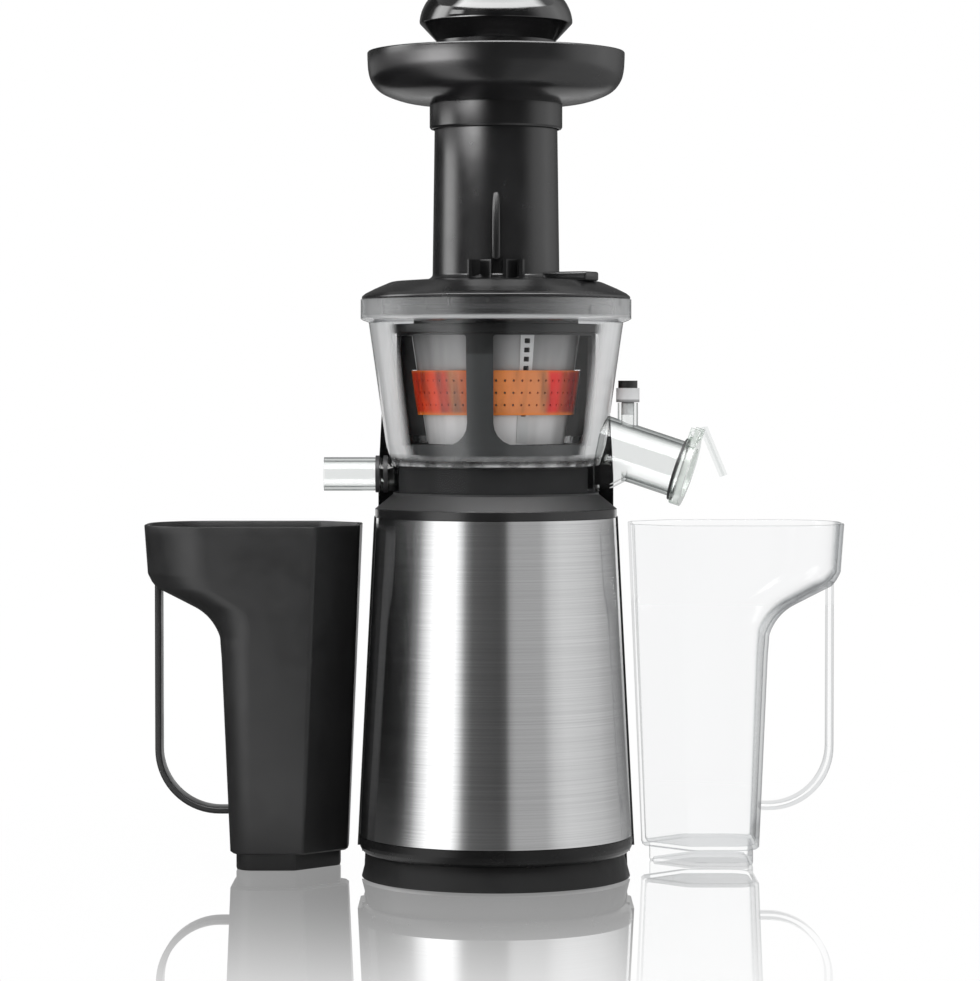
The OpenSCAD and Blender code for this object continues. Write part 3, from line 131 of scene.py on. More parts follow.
# soft reflections see a dim room with a white wall behind the machine and a pale ceiling
wall = ramp(sky, (split, "Y"), [(0.0, 0.05), (0.80, 0.05), (0.93, 1.0), (1.0, 1.0)], "EASE")
ceiling = ramp(sky, (split, "Z"), [(0.0, 0.0), (0.35, 0.0), (0.9, 0.6)], "EASE")
room = colour_mix(sky, 1.0, wall, ceiling, "LIGHTEN")
lit = colour_mix(sky, (rays, "Is Glossy Ray"), remap(sky, (split, "Z"), -1, 1, 0.62, 0.98), room)
# the eye, clear plastic and the floor's sharp mirror see plain white
seen = calc(sky, "MAXIMUM", (rays, "Is Camera Ray"), (rays, "Is Transmission Ray"), (rays, "Is Singular Ray"))
glow = new_node(sky, "ShaderNodeBackground")
wire(sky, colour_mix(sky, seen, lit, (1, 1, 1, 1)), (glow, 0))
wire(sky, (glow, 0), (new_node(sky, "ShaderNodeOutputWorld"), 0))


def blank_material(name):
    material = bpy.data.materials.new(name)
    material.use_nodes = True
    material.node_tree.nodes.clear()
    return material, material.node_tree, new_node(material.node_tree, "ShaderNodeOutputMaterial")


def placed(name, mesh):
    piece = bpy.data.objects.new(name, mesh)
    bpy.context.scene.collection.objects.link(piece)
    return piece


def mesh_object(name, points, faces):
    """An object from points in mm."""
    mesh = bpy.data.meshes.new(name)
    mesh.from_pydata([tuple(MM * c for c in p) for p in points], [], faces)
    return placed(name, mesh)


def level_at(profile, degrees):
    """The light at an angle, from a profile of (degrees, light)."""
    for (p0, v0), (p1, v1) in zip(profile, profile[1:]):
        if degrees <= p1:
            return v0 + (v1 - v0) * (degrees - p0) / (p1 - p0)
    return profile[-1][1]


def screen(name, section, start, end, step, light):
    """A screen swept round the machine, from 0 degrees at the front and positive to the right.
    section is its (radius, height) points, and light gives the light at (degrees, point number)."""
    points, levels, faces = [], [], []
    n, steps = len(section), round((end - start) / step)
    for i in range(steps + 1):
        degrees = start + step * i
        a = radians(degrees)
        points += [(r * sin(a), -r * cos(a), z) for r, z in section]
        levels += [light(degrees, k) for k in range(n)]
    for i in range(steps):
        faces += [(i * n + k, i * n + k + 1, i * n + n + k + 1, i * n + n + k) for k in range(n - 1)]
    made = mesh_object(name, points, faces)
    made.data.attributes.new("level", "FLOAT", "POINT").data.foreach_set("value", levels)
    return made


# what the lower half of the machine mirrors, at angles from the front
LOW_LIGHT = [
    (-180, 0.9), (-155, 0.5), (-150, 0.01), (-92, 0.01), (-83, 0.05), (-74, 0.32), (-66, 1.1), (-58, 1.75),
    (-45, 1.95), (-37, 1.9), (-32, 1.2), (-27, 0.35), (-21, 0.13), (-12, 0.10), (3, 0.08), (8, 0.12), (12, 0.42),
    (16, 0.53), (40, 0.54), (50, 0.82), (61, 0.93), (78, 0.87), (98, 0.75), (109, 0.62), (122, 0.5), (140, 0.3),
    (150, 0.2), (155, 0.5), (180, 0.9)]
FLOOR_LIGHT = 0.9
floor = screen("studio_floor", [(r, 0) for r in (0, 60, 160, 400, 1000, 2200)], -180, 180, 2, lambda degrees, k:
               FLOOR_LIGHT + (level_at(LOW_LIGHT, degrees) - FLOOR_LIGHT) * min(1, k / 2))
floor_finish, tree, out = blank_material("polished_white_floor")
rays = new_node(tree, "ShaderNodeLightPath")
# the floor mirrors the object, less so further away and less so from above
away = new_node(tree, "ShaderNodeVectorMath", operation="LENGTH")
wire(tree, (new_node(tree, "ShaderNodeTexCoord"), "Object"), (away, 0))
near = remap(tree, (away, "Value"), 0.05, 0.62, 0.74, 0.0, "SMOOTHSTEP")
slant = remap(tree, (new_node(tree, "ShaderNodeLayerWeight"), "Facing"), 0.1, 0.8, 0.05, 1.0, "SMOOTHSTEP")
share = calc(tree, "MULTIPLY", near, slant, (rays, "Is Camera Ray"))
mirror = new_node(tree, "ShaderNodeBsdfGlossy")
mirror.inputs["Color"].default_value = (1, 1, 1, 1)
mirror.inputs["Roughness"].default_value = 0.0
matt = new_node(tree, "ShaderNodeBsdfDiffuse")
matt.inputs["Color"].default_value = (0.86, 0.86, 0.86, 1)
shine = new_node(tree, "ShaderNodeEmission")
level = new_node(tree, "ShaderNodeAttribute", attribute_name="level")
mirrored = calc(tree, "MULTIPLY", (rays, "Is Glossy Ray"), (level, "Fac"))
wire(tree, calc(tree, "ADD", mirrored, calc(tree, "MULTIPLY", (rays, "Is Camera Ray"), 1.02)), (shine, "Strength"))
shown = calc(tree, "MAXIMUM", (rays, "Is Camera Ray"), (rays, "Is Glossy Ray"))
white = shader_mix(tree, calc(tree, "MULTIPLY", shown, 0.92), (matt, 0), (shine, 0))
wire(tree, shader_mix(tree, share, white, (mirror, 0)), (out, 0))
floor.data.materials.append(floor_finish)


def light_card(card):
    """Make a screen glow for soft reflections alone: dull surfaces and the floor's sharp mirror miss it."""
    finish, tree, out = blank_material(card.name)
    lamp = new_node(tree, "ShaderNodeEmission")
    wire(tree, (new_node(tree, "ShaderNodeAttribute", attribute_name="level"), "Fac"), (lamp, "Strength"))
    sharp = (new_node(tree, "ShaderNodeLightPath"), "Is Singular Ray")
    wire(tree, shader_mix(tree, sharp, (lamp, 0), (new_node(tree, "ShaderNodeBsdfTransparent"), 0)), (out, 0))
    card.data.materials.append(finish)
    card.visible_camera = card.visible_shadow = card.visible_diffuse = card.visible_transmission = False


def ring_of_light(name, low, high, profile, radius=STUDIO_R, start=-150, end=150):
    """A band round the machine whose light follows the profile."""
    light_card(screen(name, [(radius, low), (radius, high)], start, end, 2,
                      lambda degrees, k: level_at(profile, degrees)))


ring_of_light("light_ring_low", -20, 318, LOW_LIGHT)
ring_of_light("light_ring_high", 318, 900, [
    (-150, 0.05), (-126, 0.05), (-113, 0.2), (-106, 3.5), (-98, 5.2), (-84, 5.2), (-76, 1.6), (-70, 0.15),
    (-62, 0.08), (-52, 0.3), (-36, 0.4), (-28, 0.3), (-14, 0.1), (-5, 0.03), (2, 0.02), (20, 0.08), (40, 0.08),
    (48, 0.12), (56, 0.35), (65, 0.8), (74, 1.25), (105, 1.35), (119, 0.8), (140, 0.3), (150, 0.15)])
ring_of_light("light_wall_dim", 215, 900, [(150, 0.12), (210, 0.12)], STUDIO_R - 10, 150, 210)
# a narrow card close to the feed tray lights its left side and shades the edge beyond
ring_of_light("light_strip_tray", 388, 415, [
    (-130, 0.4), (-95, 0.5), (-80, 0.9), (-71, 1.8), (-60, 5.0), (-49, 9.5), (-39, 11.0), (-30, 8.0), (-21, 2.2),
    (-12, 0.2)], 150, -130, -12)
ring_of_light("light_patch_left", 630, 800, [(-78, 1.0), (-70, 5.5), (-56, 5.5), (-50, 1.0)], STUDIO_R - 10,
              -78, -50)
# the canopy overhead is strong at its front edge and gentler above the machine
CANOPY_FRONT = [(-180, 0.4), (-80, 0.4), (-64, 13), (40, 12), (75, 10), (95, 0.8), (180, 0.4)]
CANOPY_RIGHT = [(-180, 1.5), (-90, 0.3), (-40, 1.6), (0, 2.6), (60, 2.6), (120, 1.4), (180, 0.4)]


def canopy_light(degrees, k):
    front = level_at(CANOPY_FRONT, degrees)
    return (front, front, 0.5 * front + 0.5 * level_at(CANOPY_RIGHT, degrees), 2.0)[k]


light_card(screen("light_canopy", [(STUDIO_R, 900), (560, 1010), (330, 1080), (0, 1100)], -180, 180, 4,
                  canopy_light))


# ---------- foot, base plate and lower trim ----------
# The machine stands on a soft rubber ring pressed into a black base plate. The plate is screwed up into the
# body from below, and a glossy plastic band closes the joint to the steel.
def dress(node, material):
    """Give a CAD node its finish."""
    cad[node].data.materials.clear()
    cad[node].data.materials.append(material)


def grain(tree, scale, detail=3.0, stretch=(1, 1, 1)):
    mapping = new_node(tree, "ShaderNodeMapping")
    mapping.inputs["Scale"].default_value = stretch
    noise = new_node(tree, "ShaderNodeTexNoise")
    noise.inputs["Scale"].default_value = scale
    noise.inputs["Detail"].default_value = detail
    wire(tree, (new_node(tree, "ShaderNodeTexCoord"), "Object"), (mapping, 0))
    wire(tree, (mapping, 0), (noise, 0))
    return (noise, 0)


def spread(tree, source, low, high):
    """Map 0.3 to 0.7 of a noise to low to high."""
    return remap(tree, source, 0.3, 0.7, low, high)


def bump(tree, source, depth, shader):
    node = new_node(tree, "ShaderNodeBump")
    node.inputs["Strength"].default_value = 1
    node.inputs["Distance"].default_value = depth
    wire(tree, source, (node, "Height"))
    wire(tree, (node, 0), (shader, "Normal"))


def own_axes(tree):
    """The piece's own X, Y and Z, in metres."""
    split = new_node(tree, "ShaderNodeSeparateXYZ")
    wire(tree, (new_node(tree, "ShaderNodeTexCoord"), "Object"), (split, 0))
    return split


def height(tree, low, high):
    """0 at one height and 1 at another, in metres."""
    return remap(tree, (own_axes(tree), "Z"), low, high)


def principled(tree, **finish):
    """A Principled BSDF. Its sockets have their own names, with _ for a space."""
    shader = new_node(tree, "ShaderNodeBsdfPrincipled")
    for name, value in finish.items():
        feed(tree, value, (shader, name.replace("_", " ")))
    return shader


def moulded(name, colour, rough=0.3, depth=6e-6, size=1400, metal=0.0, coat=0.0, mottle=0.12, tone=None, dull=None,
            level=0.5):
    """Moulded plastic, rubber or cast metal with a fine surface and slight changes of shade.
    tone and dull make a shade to multiply by and a roughness in the material's tree."""
    material, tree, out = blank_material(name)
    paint = ramp(tree, grain(tree, 28, 4), [(0.3, tuple(c * (1 - mottle) for c in colour)),
                                            (0.7, tuple(min(1, c * (1 + mottle)) for c in colour))])
    if tone:
        paint = colour_mix(tree, 1.0, paint, tone(tree), "MULTIPLY")
    sheen = dull(tree) if dull else spread(tree, grain(tree, 90, 5), rough * 0.85, rough * 1.15)
    shader = principled(tree, Base_Color=paint, Roughness=sheen, Metallic=metal, Specular_IOR_Level=level,
                        Coat_Weight=coat, Coat_Roughness=0.06)
    bump(tree, grain(tree, size, 2), depth, shader)
    wire(tree, (shader, 0), (out, 0))
    return material


dress("foot_ring", moulded("foot_rubber", (0.018, 0.018, 0.018), 0.7, 2e-5, 900))
dress("base_plate", moulded("base_plate_plastic", (0.006, 0.006, 0.0062), 0.5, 8e-6, 900, level=0.25))
gloss_black = moulded("gloss_black_plastic", (0.008, 0.008, 0.0085), 0.10, 1.5e-6, 500, coat=0.5)
dress("lower_trim", moulded("trim_black_plastic", (0.007, 0.007, 0.0072), 0.25, 3e-6, 700, level=0.25))
zinc = moulded("zinc_plated_screws", (0.55, 0.56, 0.58), 0.3, 4e-6, 1500, metal=1.0)
for node in ("base_screws", "deck_screws", "gearbox_screws"):
    dress(node, zinc)


# ---------- steel wrap ----------
# A stainless sheet rolled into half a cone and glued to the front of the housing. It is brushed round the
# body, so the strokes run level and the light stands in upright bands.
SHARP = 38


def tidy(piece, sharp=SHARP):
    """Merge doubles, turn faces outwards and shade smooth with sharp edges kept."""
    bm = bmesh.new()
    bm.from_mesh(piece.data)
    bmesh.ops.remove_doubles(bm, verts=bm.verts, dist=2e-6)
    bmesh.ops.dissolve_degenerate(bm, edges=bm.edges, dist=1e-6)
    bmesh.ops.recalc_face_normals(bm, faces=bm.faces)
    bm.to_mesh(piece.data)
    bm.free()
    piece.data.polygons.foreach_set("use_smooth", [True] * len(piece.data.polygons))
    piece.data.set_sharp_from_angle(angle=radians(sharp))
    return piece


def turned(name, outline, segments=160, start=0, sweep=360):
    """A closed outline of (radius, height) swept round the axis, with end faces unless it is a whole turn."""
    columns = segments if sweep == 360 else segments + 1
    n = len(outline)
    points, faces = [], []
    for k in range(columns):
        a = radians(start + sweep * k / segments)
        points += [(r * cos(a), r * sin(a), z) for r, z in outline]
    for k in range(segments):
        a, b = k * n, (k + 1) % columns * n
        faces += [(a + i, b + i, b + (i + 1) % n, a + (i + 1) % n) for i in range(n)]
    if sweep != 360:
        faces += [tuple(range(n)), tuple(range((columns - 1) * n, columns * n))]
    return tidy(mesh_object(name, points, faces))


def fitted(piece, body, slot, material, *nodes):
    """Give a finished piece its material, its body and the CAD nodes that it stands for."""
    piece.data.materials.clear()
    piece.data.materials.append(material)
    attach(piece, body)
    if nodes:
        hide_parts(*nodes)


WRAP_LOW_R, WRAP_TOP_R, WRAP_LOW, WRAP_TOP, WRAP_T, WRAP_EDGE = 68.2, 60.0, 21.5, 181.0, 0.8, 0.35


def wrap_radius(z):
    return WRAP_LOW_R + (z - WRAP_LOW) * (WRAP_TOP_R - WRAP_LOW_R) / (WRAP_TOP - WRAP_LOW)


outline = [(wrap_radius(WRAP_LOW) - WRAP_EDGE, WRAP_LOW)]
for k in range(41):
    z = WRAP_LOW + WRAP_EDGE + (WRAP_TOP - WRAP_LOW - 2 * WRAP_EDGE) * k / 40
    outline.append((wrap_radius(z), z))
outline += [(wrap_radius(WRAP_TOP) - WRAP_EDGE, WRAP_TOP), (wrap_radius(WRAP_TOP) - WRAP_T, WRAP_TOP),
            (wrap_radius(WRAP_LOW) - WRAP_T, WRAP_LOW)]
brushed, tree, out = blank_material("brushed_stainless")
strokes = calc(tree, "ADD", calc(tree, "MULTIPLY", grain(tree, 60, 5, (0.12, 0.12, 30)), 0.5),
               calc(tree, "MULTIPLY", grain(tree, 200, 3, (0.08, 0.08, 30)), 0.5))
shader = principled(
    tree, Base_Color=ramp(tree, strokes, [(0.3, (0.53, 0.533, 0.537)), (0.7, (0.68, 0.683, 0.687))]),
    Roughness=spread(tree, strokes, 0.11, 0.17), Metallic=1.0, Anisotropic=0.8, Anisotropic_Rotation=0.25,
    Tangent=(new_node(tree, "ShaderNodeTangent", direction_type="RADIAL", axis="Z"), 0))
bump(tree, strokes, 2e-6, shader)
wire(tree, (shader, 0), (out, 0))
fitted(turned("brushed_steel_wrap", outline, 160, 180.2, 179.6), "base", "brushed_steel", brushed, "steel_wrap")


# ---------- housing, deck and seals ----------
# The black rear half is one moulding that carries a tower behind the bowl. The deck is screwed down on it: its
# lip caps the steel and its dull boss centres the bowl. Rubber rings keep juice out of every joint.
DECK_BEVEL, DECK_BOSS, DECK_TOP = 0.183, 0.19, 0.195
housing_black = moulded("housing_black_plastic", (0.010, 0.010, 0.0105), 0.22, 5e-6, 900)
dress("rear_housing", housing_black)
# painted shade: the top of the boss, under the bowl, is painted a quarter as bright
dress("top_deck", moulded(
    "deck_black_plastic", (0.014, 0.014, 0.0145), 0.2, 2e-6, 700,
    tone=lambda tree: ramp(tree, height(tree, DECK_BOSS, DECK_TOP), [
        (0.0, 1.0), (0.4, 1.0), (0.6, 0.25), (1.0, 0.25)]),
    dull=lambda tree: ramp(tree, height(tree, DECK_BEVEL, DECK_TOP), [
        (0.0, 0.2), (0.18, 0.2), (0.24, 0.42), (0.74, 0.42), (0.84, 0.95), (1.0, 0.95)])))
seal_rubber = moulded("seal_rubber", (0.02, 0.02, 0.021), 0.5, 1e-5, 1200)
for node in ("seat_seal", "shaft_seal", "bowl_shaft_seal", "juice_spout_seal", "lid_gasket", "cord_gland",
             "pulp_spout_gasket"):
    dress(node, seal_rubber)


# ---------- motor, gearbox and electrics inside the base ----------
# A permanent magnet motor turns a 25 to 1 reducer of steel, brass and plastic gears in a screwed case. The
# board and its capacitor sit on posts at the back wall, next to the rocker switch.
steel_part = moulded("ground_steel", (0.60, 0.61, 0.63), 0.22, 3e-6, 2000, metal=1.0)
inner_black = moulded("inner_housing_plastic", (0.05, 0.05, 0.055), 0.45, 1e-5, 900)
bronze = moulded("sintered_bronze", (0.55, 0.38, 0.17), 0.42, 3e-5, 1800, metal=1.0)
gear_white = moulded("natural_gear_plastic", (0.72, 0.69, 0.60), 0.4, 8e-6, 900)
for material, nodes in (
        (steel_part, ("motor_shaft", "counter_pin", "drive_shaft", "idler_pins")),
        (inner_black, ("motor_end_bell", "gearbox_housing", "gearbox_cover")),
        (bronze, ("motor_bearings", "output_bearings", "lid_bushing")),
        (gear_white, ("cluster_gear", "output_gear", "auger_gear", "front_idler_gear", "rear_idler_gear"))):
    for node in nodes:
        dress(node, material)
dress("motor_can", moulded("zinc_coated_can", (0.42, 0.43, 0.45), 0.38, 1e-5, 700, metal=1.0))
dress("motor_magnets", moulded("ferrite", (0.07, 0.07, 0.075), 0.6, 3e-5, 600))
dress("rotor_core", moulded("laminated_core", (0.32, 0.33, 0.35), 0.45, 4e-5, 500, metal=1.0))
dress("rotor_windings", moulded("enamelled_copper", (0.62, 0.25, 0.09), 0.3, 6e-5, 800, metal=1.0))
dress("cooling_fan", moulded("fan_blue_plastic", (0.05, 0.10, 0.20), 0.4))
dress("control_board", moulded("green_solder_mask", (0.03, 0.16, 0.07), 0.35, 2e-5, 500))
dress("filter_capacitor", moulded("capacitor_sleeve", (0.03, 0.06, 0.20), 0.25))
dress("motor_pinion", moulded("machined_brass", (0.65, 0.47, 0.18), 0.25, 4e-6, 2000, metal=1.0))
dress("switch_bezel", gloss_black)
dress("rocker_switch", moulded("rocker_black_plastic", (0.02, 0.02, 0.021), 0.3))


# ---------- bowl and spouts ----------
# The bowl is moulded in clear plastic with a smoked rim collar. Juice leaves at the left and pulp at the right,
# where a frosted ring holds a hinged flap and a rubber plug closes the rinsing port.
def clear_plastic(name, tint, edge, haze=None, milk=(0.8, 0.82, 0.83), f0=0.025, start=0.3, gloss=None):
    """Thin clear plastic: it lets light straight through, darkens towards its edges and mirrors the room.
    haze makes the share of cloudy plastic in the material's tree, milk is that plastic's colour or makes it,
    and gloss makes a factor for the mirror."""
    material, tree, out = blank_material(name)
    facing = new_node(tree, "ShaderNodeLayerWeight")
    film = new_node(tree, "ShaderNodeBsdfTransparent")
    between = tuple((t + 2 * e) / 3 for t, e in zip(tint, edge))
    wire(tree, ramp(tree, (facing, "Facing"), [
        (0.0, tint), (start, tint), ((start + 0.9) / 2, between), (0.9, edge)]), (film, 0))
    body = (film, 0)
    if haze:
        cloud = principled(tree, Base_Color=milk(tree) if callable(milk) else (*milk, 1), Roughness=0.35)
        body = shader_mix(tree, haze(tree, facing), body, (cloud, 0))
    mirror = new_node(tree, "ShaderNodeBsdfGlossy")
    mirror.inputs["Roughness"].default_value = 0.03
    bump(tree, grain(tree, 45, 2), 6e-5, mirror)
    # the share of light mirrored grows from head on to edge on
    share = calc(tree, "MULTIPLY", calc(tree, "POWER", (facing, "Facing"), 5.0), 0.9)
    share = calc(tree, "ADD", share, f0)
    if gloss:
        share = calc(tree, "MULTIPLY", share, gloss(tree))
    wire(tree, shader_mix(tree, share, body, (mirror, 0)), (out, 0))
    return material


COLLAR_LOW, COLLAR_TOP, SKIRT_LOW, SKIRT_TOP = 0.278, 0.2894, 0.2065, 0.2125
BOWL_FOOT_LOW, BOWL_FOOT_TOP = 0.2045, 0.2085


def bowl_haze_and_highlights(tree, facing):
    """Smoky in the rim collar, most at its sides, with a painted highlight as a thin pale line at the collar's
    lower edge and painted highlights as pale squiggles where the wall meets the floor.
    """
    rise = height(tree, COLLAR_LOW, COLLAR_TOP)
    # painted highlight: a thin pale line at the collar's lower edge
    edge = ramp(tree, rise, [(0.0, 0.0), (0.06, 0.0), (0.13, 0.36), (0.2, 0.36), (0.3, 0.0)])
    collar = calc(tree, "MULTIPLY", ramp(tree, rise, [(0.0, 0.0), (0.2, 0.0), (0.28, 1.0)]), ramp(
        tree, (facing, "Facing"), [(0.0, 0.02), (0.12, 0.07), (0.45, 0.24), (0.76, 0.34)]))
    # painted highlights: pale squiggles where the wall meets the floor
    skirt = calc(tree, "MULTIPLY", spread(tree, grain(tree, 150, 3, (1, 1, 0.6)), 0.0, 1.3), ramp(
        tree, height(tree, SKIRT_LOW, SKIRT_TOP), [(0.0, 0.0), (0.1, 0.5), (0.35, 0.08), (0.8, 0.12), (1.0, 0.0)]))
    wall = ramp(tree, height(tree, SKIRT_LOW, COLLAR_LOW), [
        (0.0, 0.0), (0.05, 0.0), (0.09, 1.0), (0.99, 1.0), (1.0, 0.0)])
    glow = ramp(tree, (facing, "Facing"), [
        (0.0, 0.0), (0.42, 0.0), (0.5, 0.6), (0.62, 0.85), (0.85, 0.7), (0.94, 0.3), (1.0, 0.2)])
    sides = calc(tree, "MULTIPLY", wall, glow, spread(tree, grain(tree, 60, 2, (1, 1, 0.1)), 0.8, 1.2))
    return calc(tree, "ADD", skirt, edge, sides, collar)


dress("bowl", clear_plastic(
    "clear_bowl_plastic", (0.97, 0.972, 0.974), (0.72, 0.73, 0.74), bowl_haze_and_highlights, (0.97, 0.98, 0.985), start=0.5,
    gloss=lambda tree: ramp(tree, height(tree, BOWL_FOOT_LOW, BOWL_FOOT_TOP), [
        (0.0, 0.12), (0.3, 0.12), (0.8, 1.0), (1.0, 1.0)])))
spout_clear = clear_plastic("clear_spout_plastic", (0.955, 0.96, 0.958), (0.47, 0.49, 0.485), start=0.35)
for node in ("juice_spout", "pulp_spout"):
    dress(node, spout_clear)
# the way that the pulp spout points, and where its end ring starts and ends along it
RING_AXIS, RING_START, RING_END = (0.9355, -0.165, -0.3123), 0.0242, 0.0291


def ring_haze(tree, facing):
    """Clear beside its dark gasket and frosted towards the mouth."""
    along = new_node(tree, "ShaderNodeVectorMath", operation="DOT_PRODUCT")
    along.inputs[1].default_value = RING_AXIS
    wire(tree, (new_node(tree, "ShaderNodeTexCoord"), "Object"), (along, 0))
    frost = ramp(tree, remap(tree, (along, "Value"), RING_START, RING_END), [
        (0.0, 0.0), (0.3, 0.0), (0.55, 0.7), (1.0, 0.8)])
    return calc(tree, "MULTIPLY", frost, spread(tree, grain(tree, 60, 3), 0.7, 1.0))


dress("pulp_spout_ring", clear_plastic(
    "frosted_ring_plastic", (0.97, 0.985, 0.975), (0.70, 0.76, 0.72), ring_haze, (0.93, 0.98, 0.94), start=0.5))
dress("pulp_flap", clear_plastic("clear_flap_plastic", (0.994, 0.997, 0.995), (0.97, 0.985, 0.98), f0=0.002,
                                 start=0.5, gloss=lambda tree: 0.25))
PLUG_LOW, PLUG_TOP = 0.235, 0.247
dress("port_plug", moulded(
    "plug_grey_rubber", (0.86, 0.865, 0.87), 0.4, tone=lambda tree: ramp(tree, height(tree, PLUG_LOW, PLUG_TOP), [
        (0.0, 1.0), (0.21, 1.0), (0.24, 0.24), (0.34, 0.32), (0.42, 0.85), (1.0, 0.72)])))
dress("port_plug_cap", moulded("plug_cap_rubber", (0.012, 0.012, 0.012), 0.35))


# ---------- strainer ----------
# A smoked grey sieve moulded in one piece that stands still in the bowl. Three pale ribs stiffen it, each
# pierced with a row of square holes for the juice.
def pierced_sheet_tree():
    """Nodes that pierce a flat sheet with rows of holes and bend it round the axis.
    Lengths along the sheet are in degrees of turn, and the others in metres."""
    tree = bpy.data.node_groups.new("pierced_sheet", "GeometryNodeTree")
    tree.interface.new_socket("Sheet", in_out="OUTPUT", socket_type="NodeSocketGeometry")
    for label in ("Degrees", "Turn", "Low", "High", "Low Radius", "High Radius", "Bulge", "Wall", "Columns",
                  "Column Pitch", "Rows", "Row Pitch", "First Row", "Hole Degrees", "Hole Height", "Top Corner",
                  "Bottom Corner", "Material"):
        kind = {"Columns": "Int", "Rows": "Int", "Material": "Material"}.get(label, "Float")
        tree.interface.new_socket(label, in_out="INPUT", socket_type="NodeSocket" + kind)
    given = new_node(tree, "NodeGroupInput")
    result = new_node(tree, "NodeGroupOutput")
    flat = 0.0008  # metres of flat sheet for each degree

    def times(*parts):
        return calc(tree, "MULTIPLY", *parts)

    def plus(*parts):
        return calc(tree, "ADD", *parts)

    def minus(*parts):
        return calc(tree, "SUBTRACT", *parts)

    def combined(x, y, z):
        node = new_node(tree, "ShaderNodeCombineXYZ")
        for i, part in enumerate((x, y, z)):
            feed(tree, part, (node, i))
        return (node, 0)

    def upright(source, *shift):
        """Stand a level shape up and move it."""
        node = new_node(tree, "GeometryNodeTransform")
        wire(tree, source, (node, "Geometry"))
        wire(tree, combined(*shift), (node, "Translation"))
        node.inputs["Rotation"].default_value = (pi / 2, 0, 0)
        return (node, 0)

    def position():
        split = new_node(tree, "ShaderNodeSeparateXYZ")
        wire(tree, (new_node(tree, "GeometryNodeInputPosition"), 0), (split, 0))
        return split

    rise = minus((given, "High"), (given, "Low"))
    middle = times(plus((given, "High"), (given, "Low")), 0.5)
    width = times((given, "Degrees"), flat)
    slab = new_node(tree, "GeometryNodeMeshCube")
    wire(tree, combined(width, (given, "Wall"), rise), (slab, "Size"))
    wire(tree, plus(times((given, "Degrees"), 1 / 3), 2), (slab, "Vertices X"))
    wire(tree, plus(times(rise, 250), 2), (slab, "Vertices Z"))

    # one cutter with its own top and bottom corner radius
    outline = new_node(tree, "GeometryNodeCurvePrimitiveQuadrilateral")
    wire(tree, times((given, "Hole Degrees"), flat), (outline, "Width"))
    wire(tree, (given, "Hole Height"), (outline, "Height"))
    corner = new_node(tree, "GeometryNodeSwitch", input_type="FLOAT")
    wire(tree, calc(tree, "GREATER_THAN", (position(), "Y"), 0.0), (corner, "Switch"))
    wire(tree, (given, "Bottom Corner"), (corner, "False"))
    wire(tree, (given, "Top Corner"), (corner, "True"))
    fillet = new_node(tree, "GeometryNodeFilletCurve", mode="POLY")
    fillet.inputs["Count"].default_value = 5
    wire(tree, (outline, 0), (fillet, 0))
    wire(tree, (corner, 0), (fillet, "Radius"))
    face = new_node(tree, "GeometryNodeFillCurve", mode="NGONS")
    wire(tree, (fillet, 0), (face, 0))
    raised = new_node(tree, "GeometryNodeExtrudeMesh", mode="FACES")
    deep = times((given, "Wall"), 4)
    wire(tree, (face, 0), (raised, "Mesh"))
    wire(tree, deep, (raised, "Offset Scale"))
    under = new_node(tree, "GeometryNodeFlipFaces")
    wire(tree, (face, 0), (under, 0))
    shell = new_node(tree, "GeometryNodeJoinGeometry")
    wire(tree, (raised, 0), (shell, 0))
    wire(tree, (under, 0), (shell, 0))
    cutter = new_node(tree, "GeometryNodeMergeByDistance")
    cutter.inputs["Distance"].default_value = 1e-6
    wire(tree, (shell, 0), (cutter, 0))

    # rows and columns of cutters
    grid = new_node(tree, "GeometryNodeMeshGrid")
    across = times(minus((given, "Columns"), 1), (given, "Column Pitch"), flat)
    tall = times(minus((given, "Rows"), 1), (given, "Row Pitch"))
    for source, key in ((across, "Size X"), (tall, "Size Y"), ((given, "Columns"), "Vertices X"),
                        ((given, "Rows"), "Vertices Y")):
        wire(tree, source, (grid, key))
    copies = new_node(tree, "GeometryNodeInstanceOnPoints")
    centre = plus((given, "First Row"), times(tall, 0.5))
    wire(tree, upright((grid, 0), 0, 0, minus(centre, middle)), (copies, "Points"))
    wire(tree, upright((cutter, 0), 0, times(deep, 0.5), 0), (copies, "Instance"))
    real = new_node(tree, "GeometryNodeRealizeInstances")
    wire(tree, (copies, 0), (real, 0))
    pierced = new_node(tree, "GeometryNodeMeshBoolean", operation="DIFFERENCE", solver="EXACT")
    wire(tree, (slab, 0), (pierced, 0))
    wire(tree, (real, 0), (pierced, 1))

    # a whole turn loses its two end faces and closes on itself
    spot = position()
    at_end = calc(tree, "GREATER_THAN", calc(tree, "ABSOLUTE", (spot, "X")), minus(times(width, 0.5), 1e-6))
    whole = calc(tree, "GREATER_THAN", (given, "Degrees"), 359.9)
    opened = new_node(tree, "GeometryNodeDeleteGeometry", domain="FACE", mode="ONLY_FACE")
    wire(tree, (pierced, 0), (opened, 0))
    wire(tree, times(at_end, whole), (opened, "Selection"))

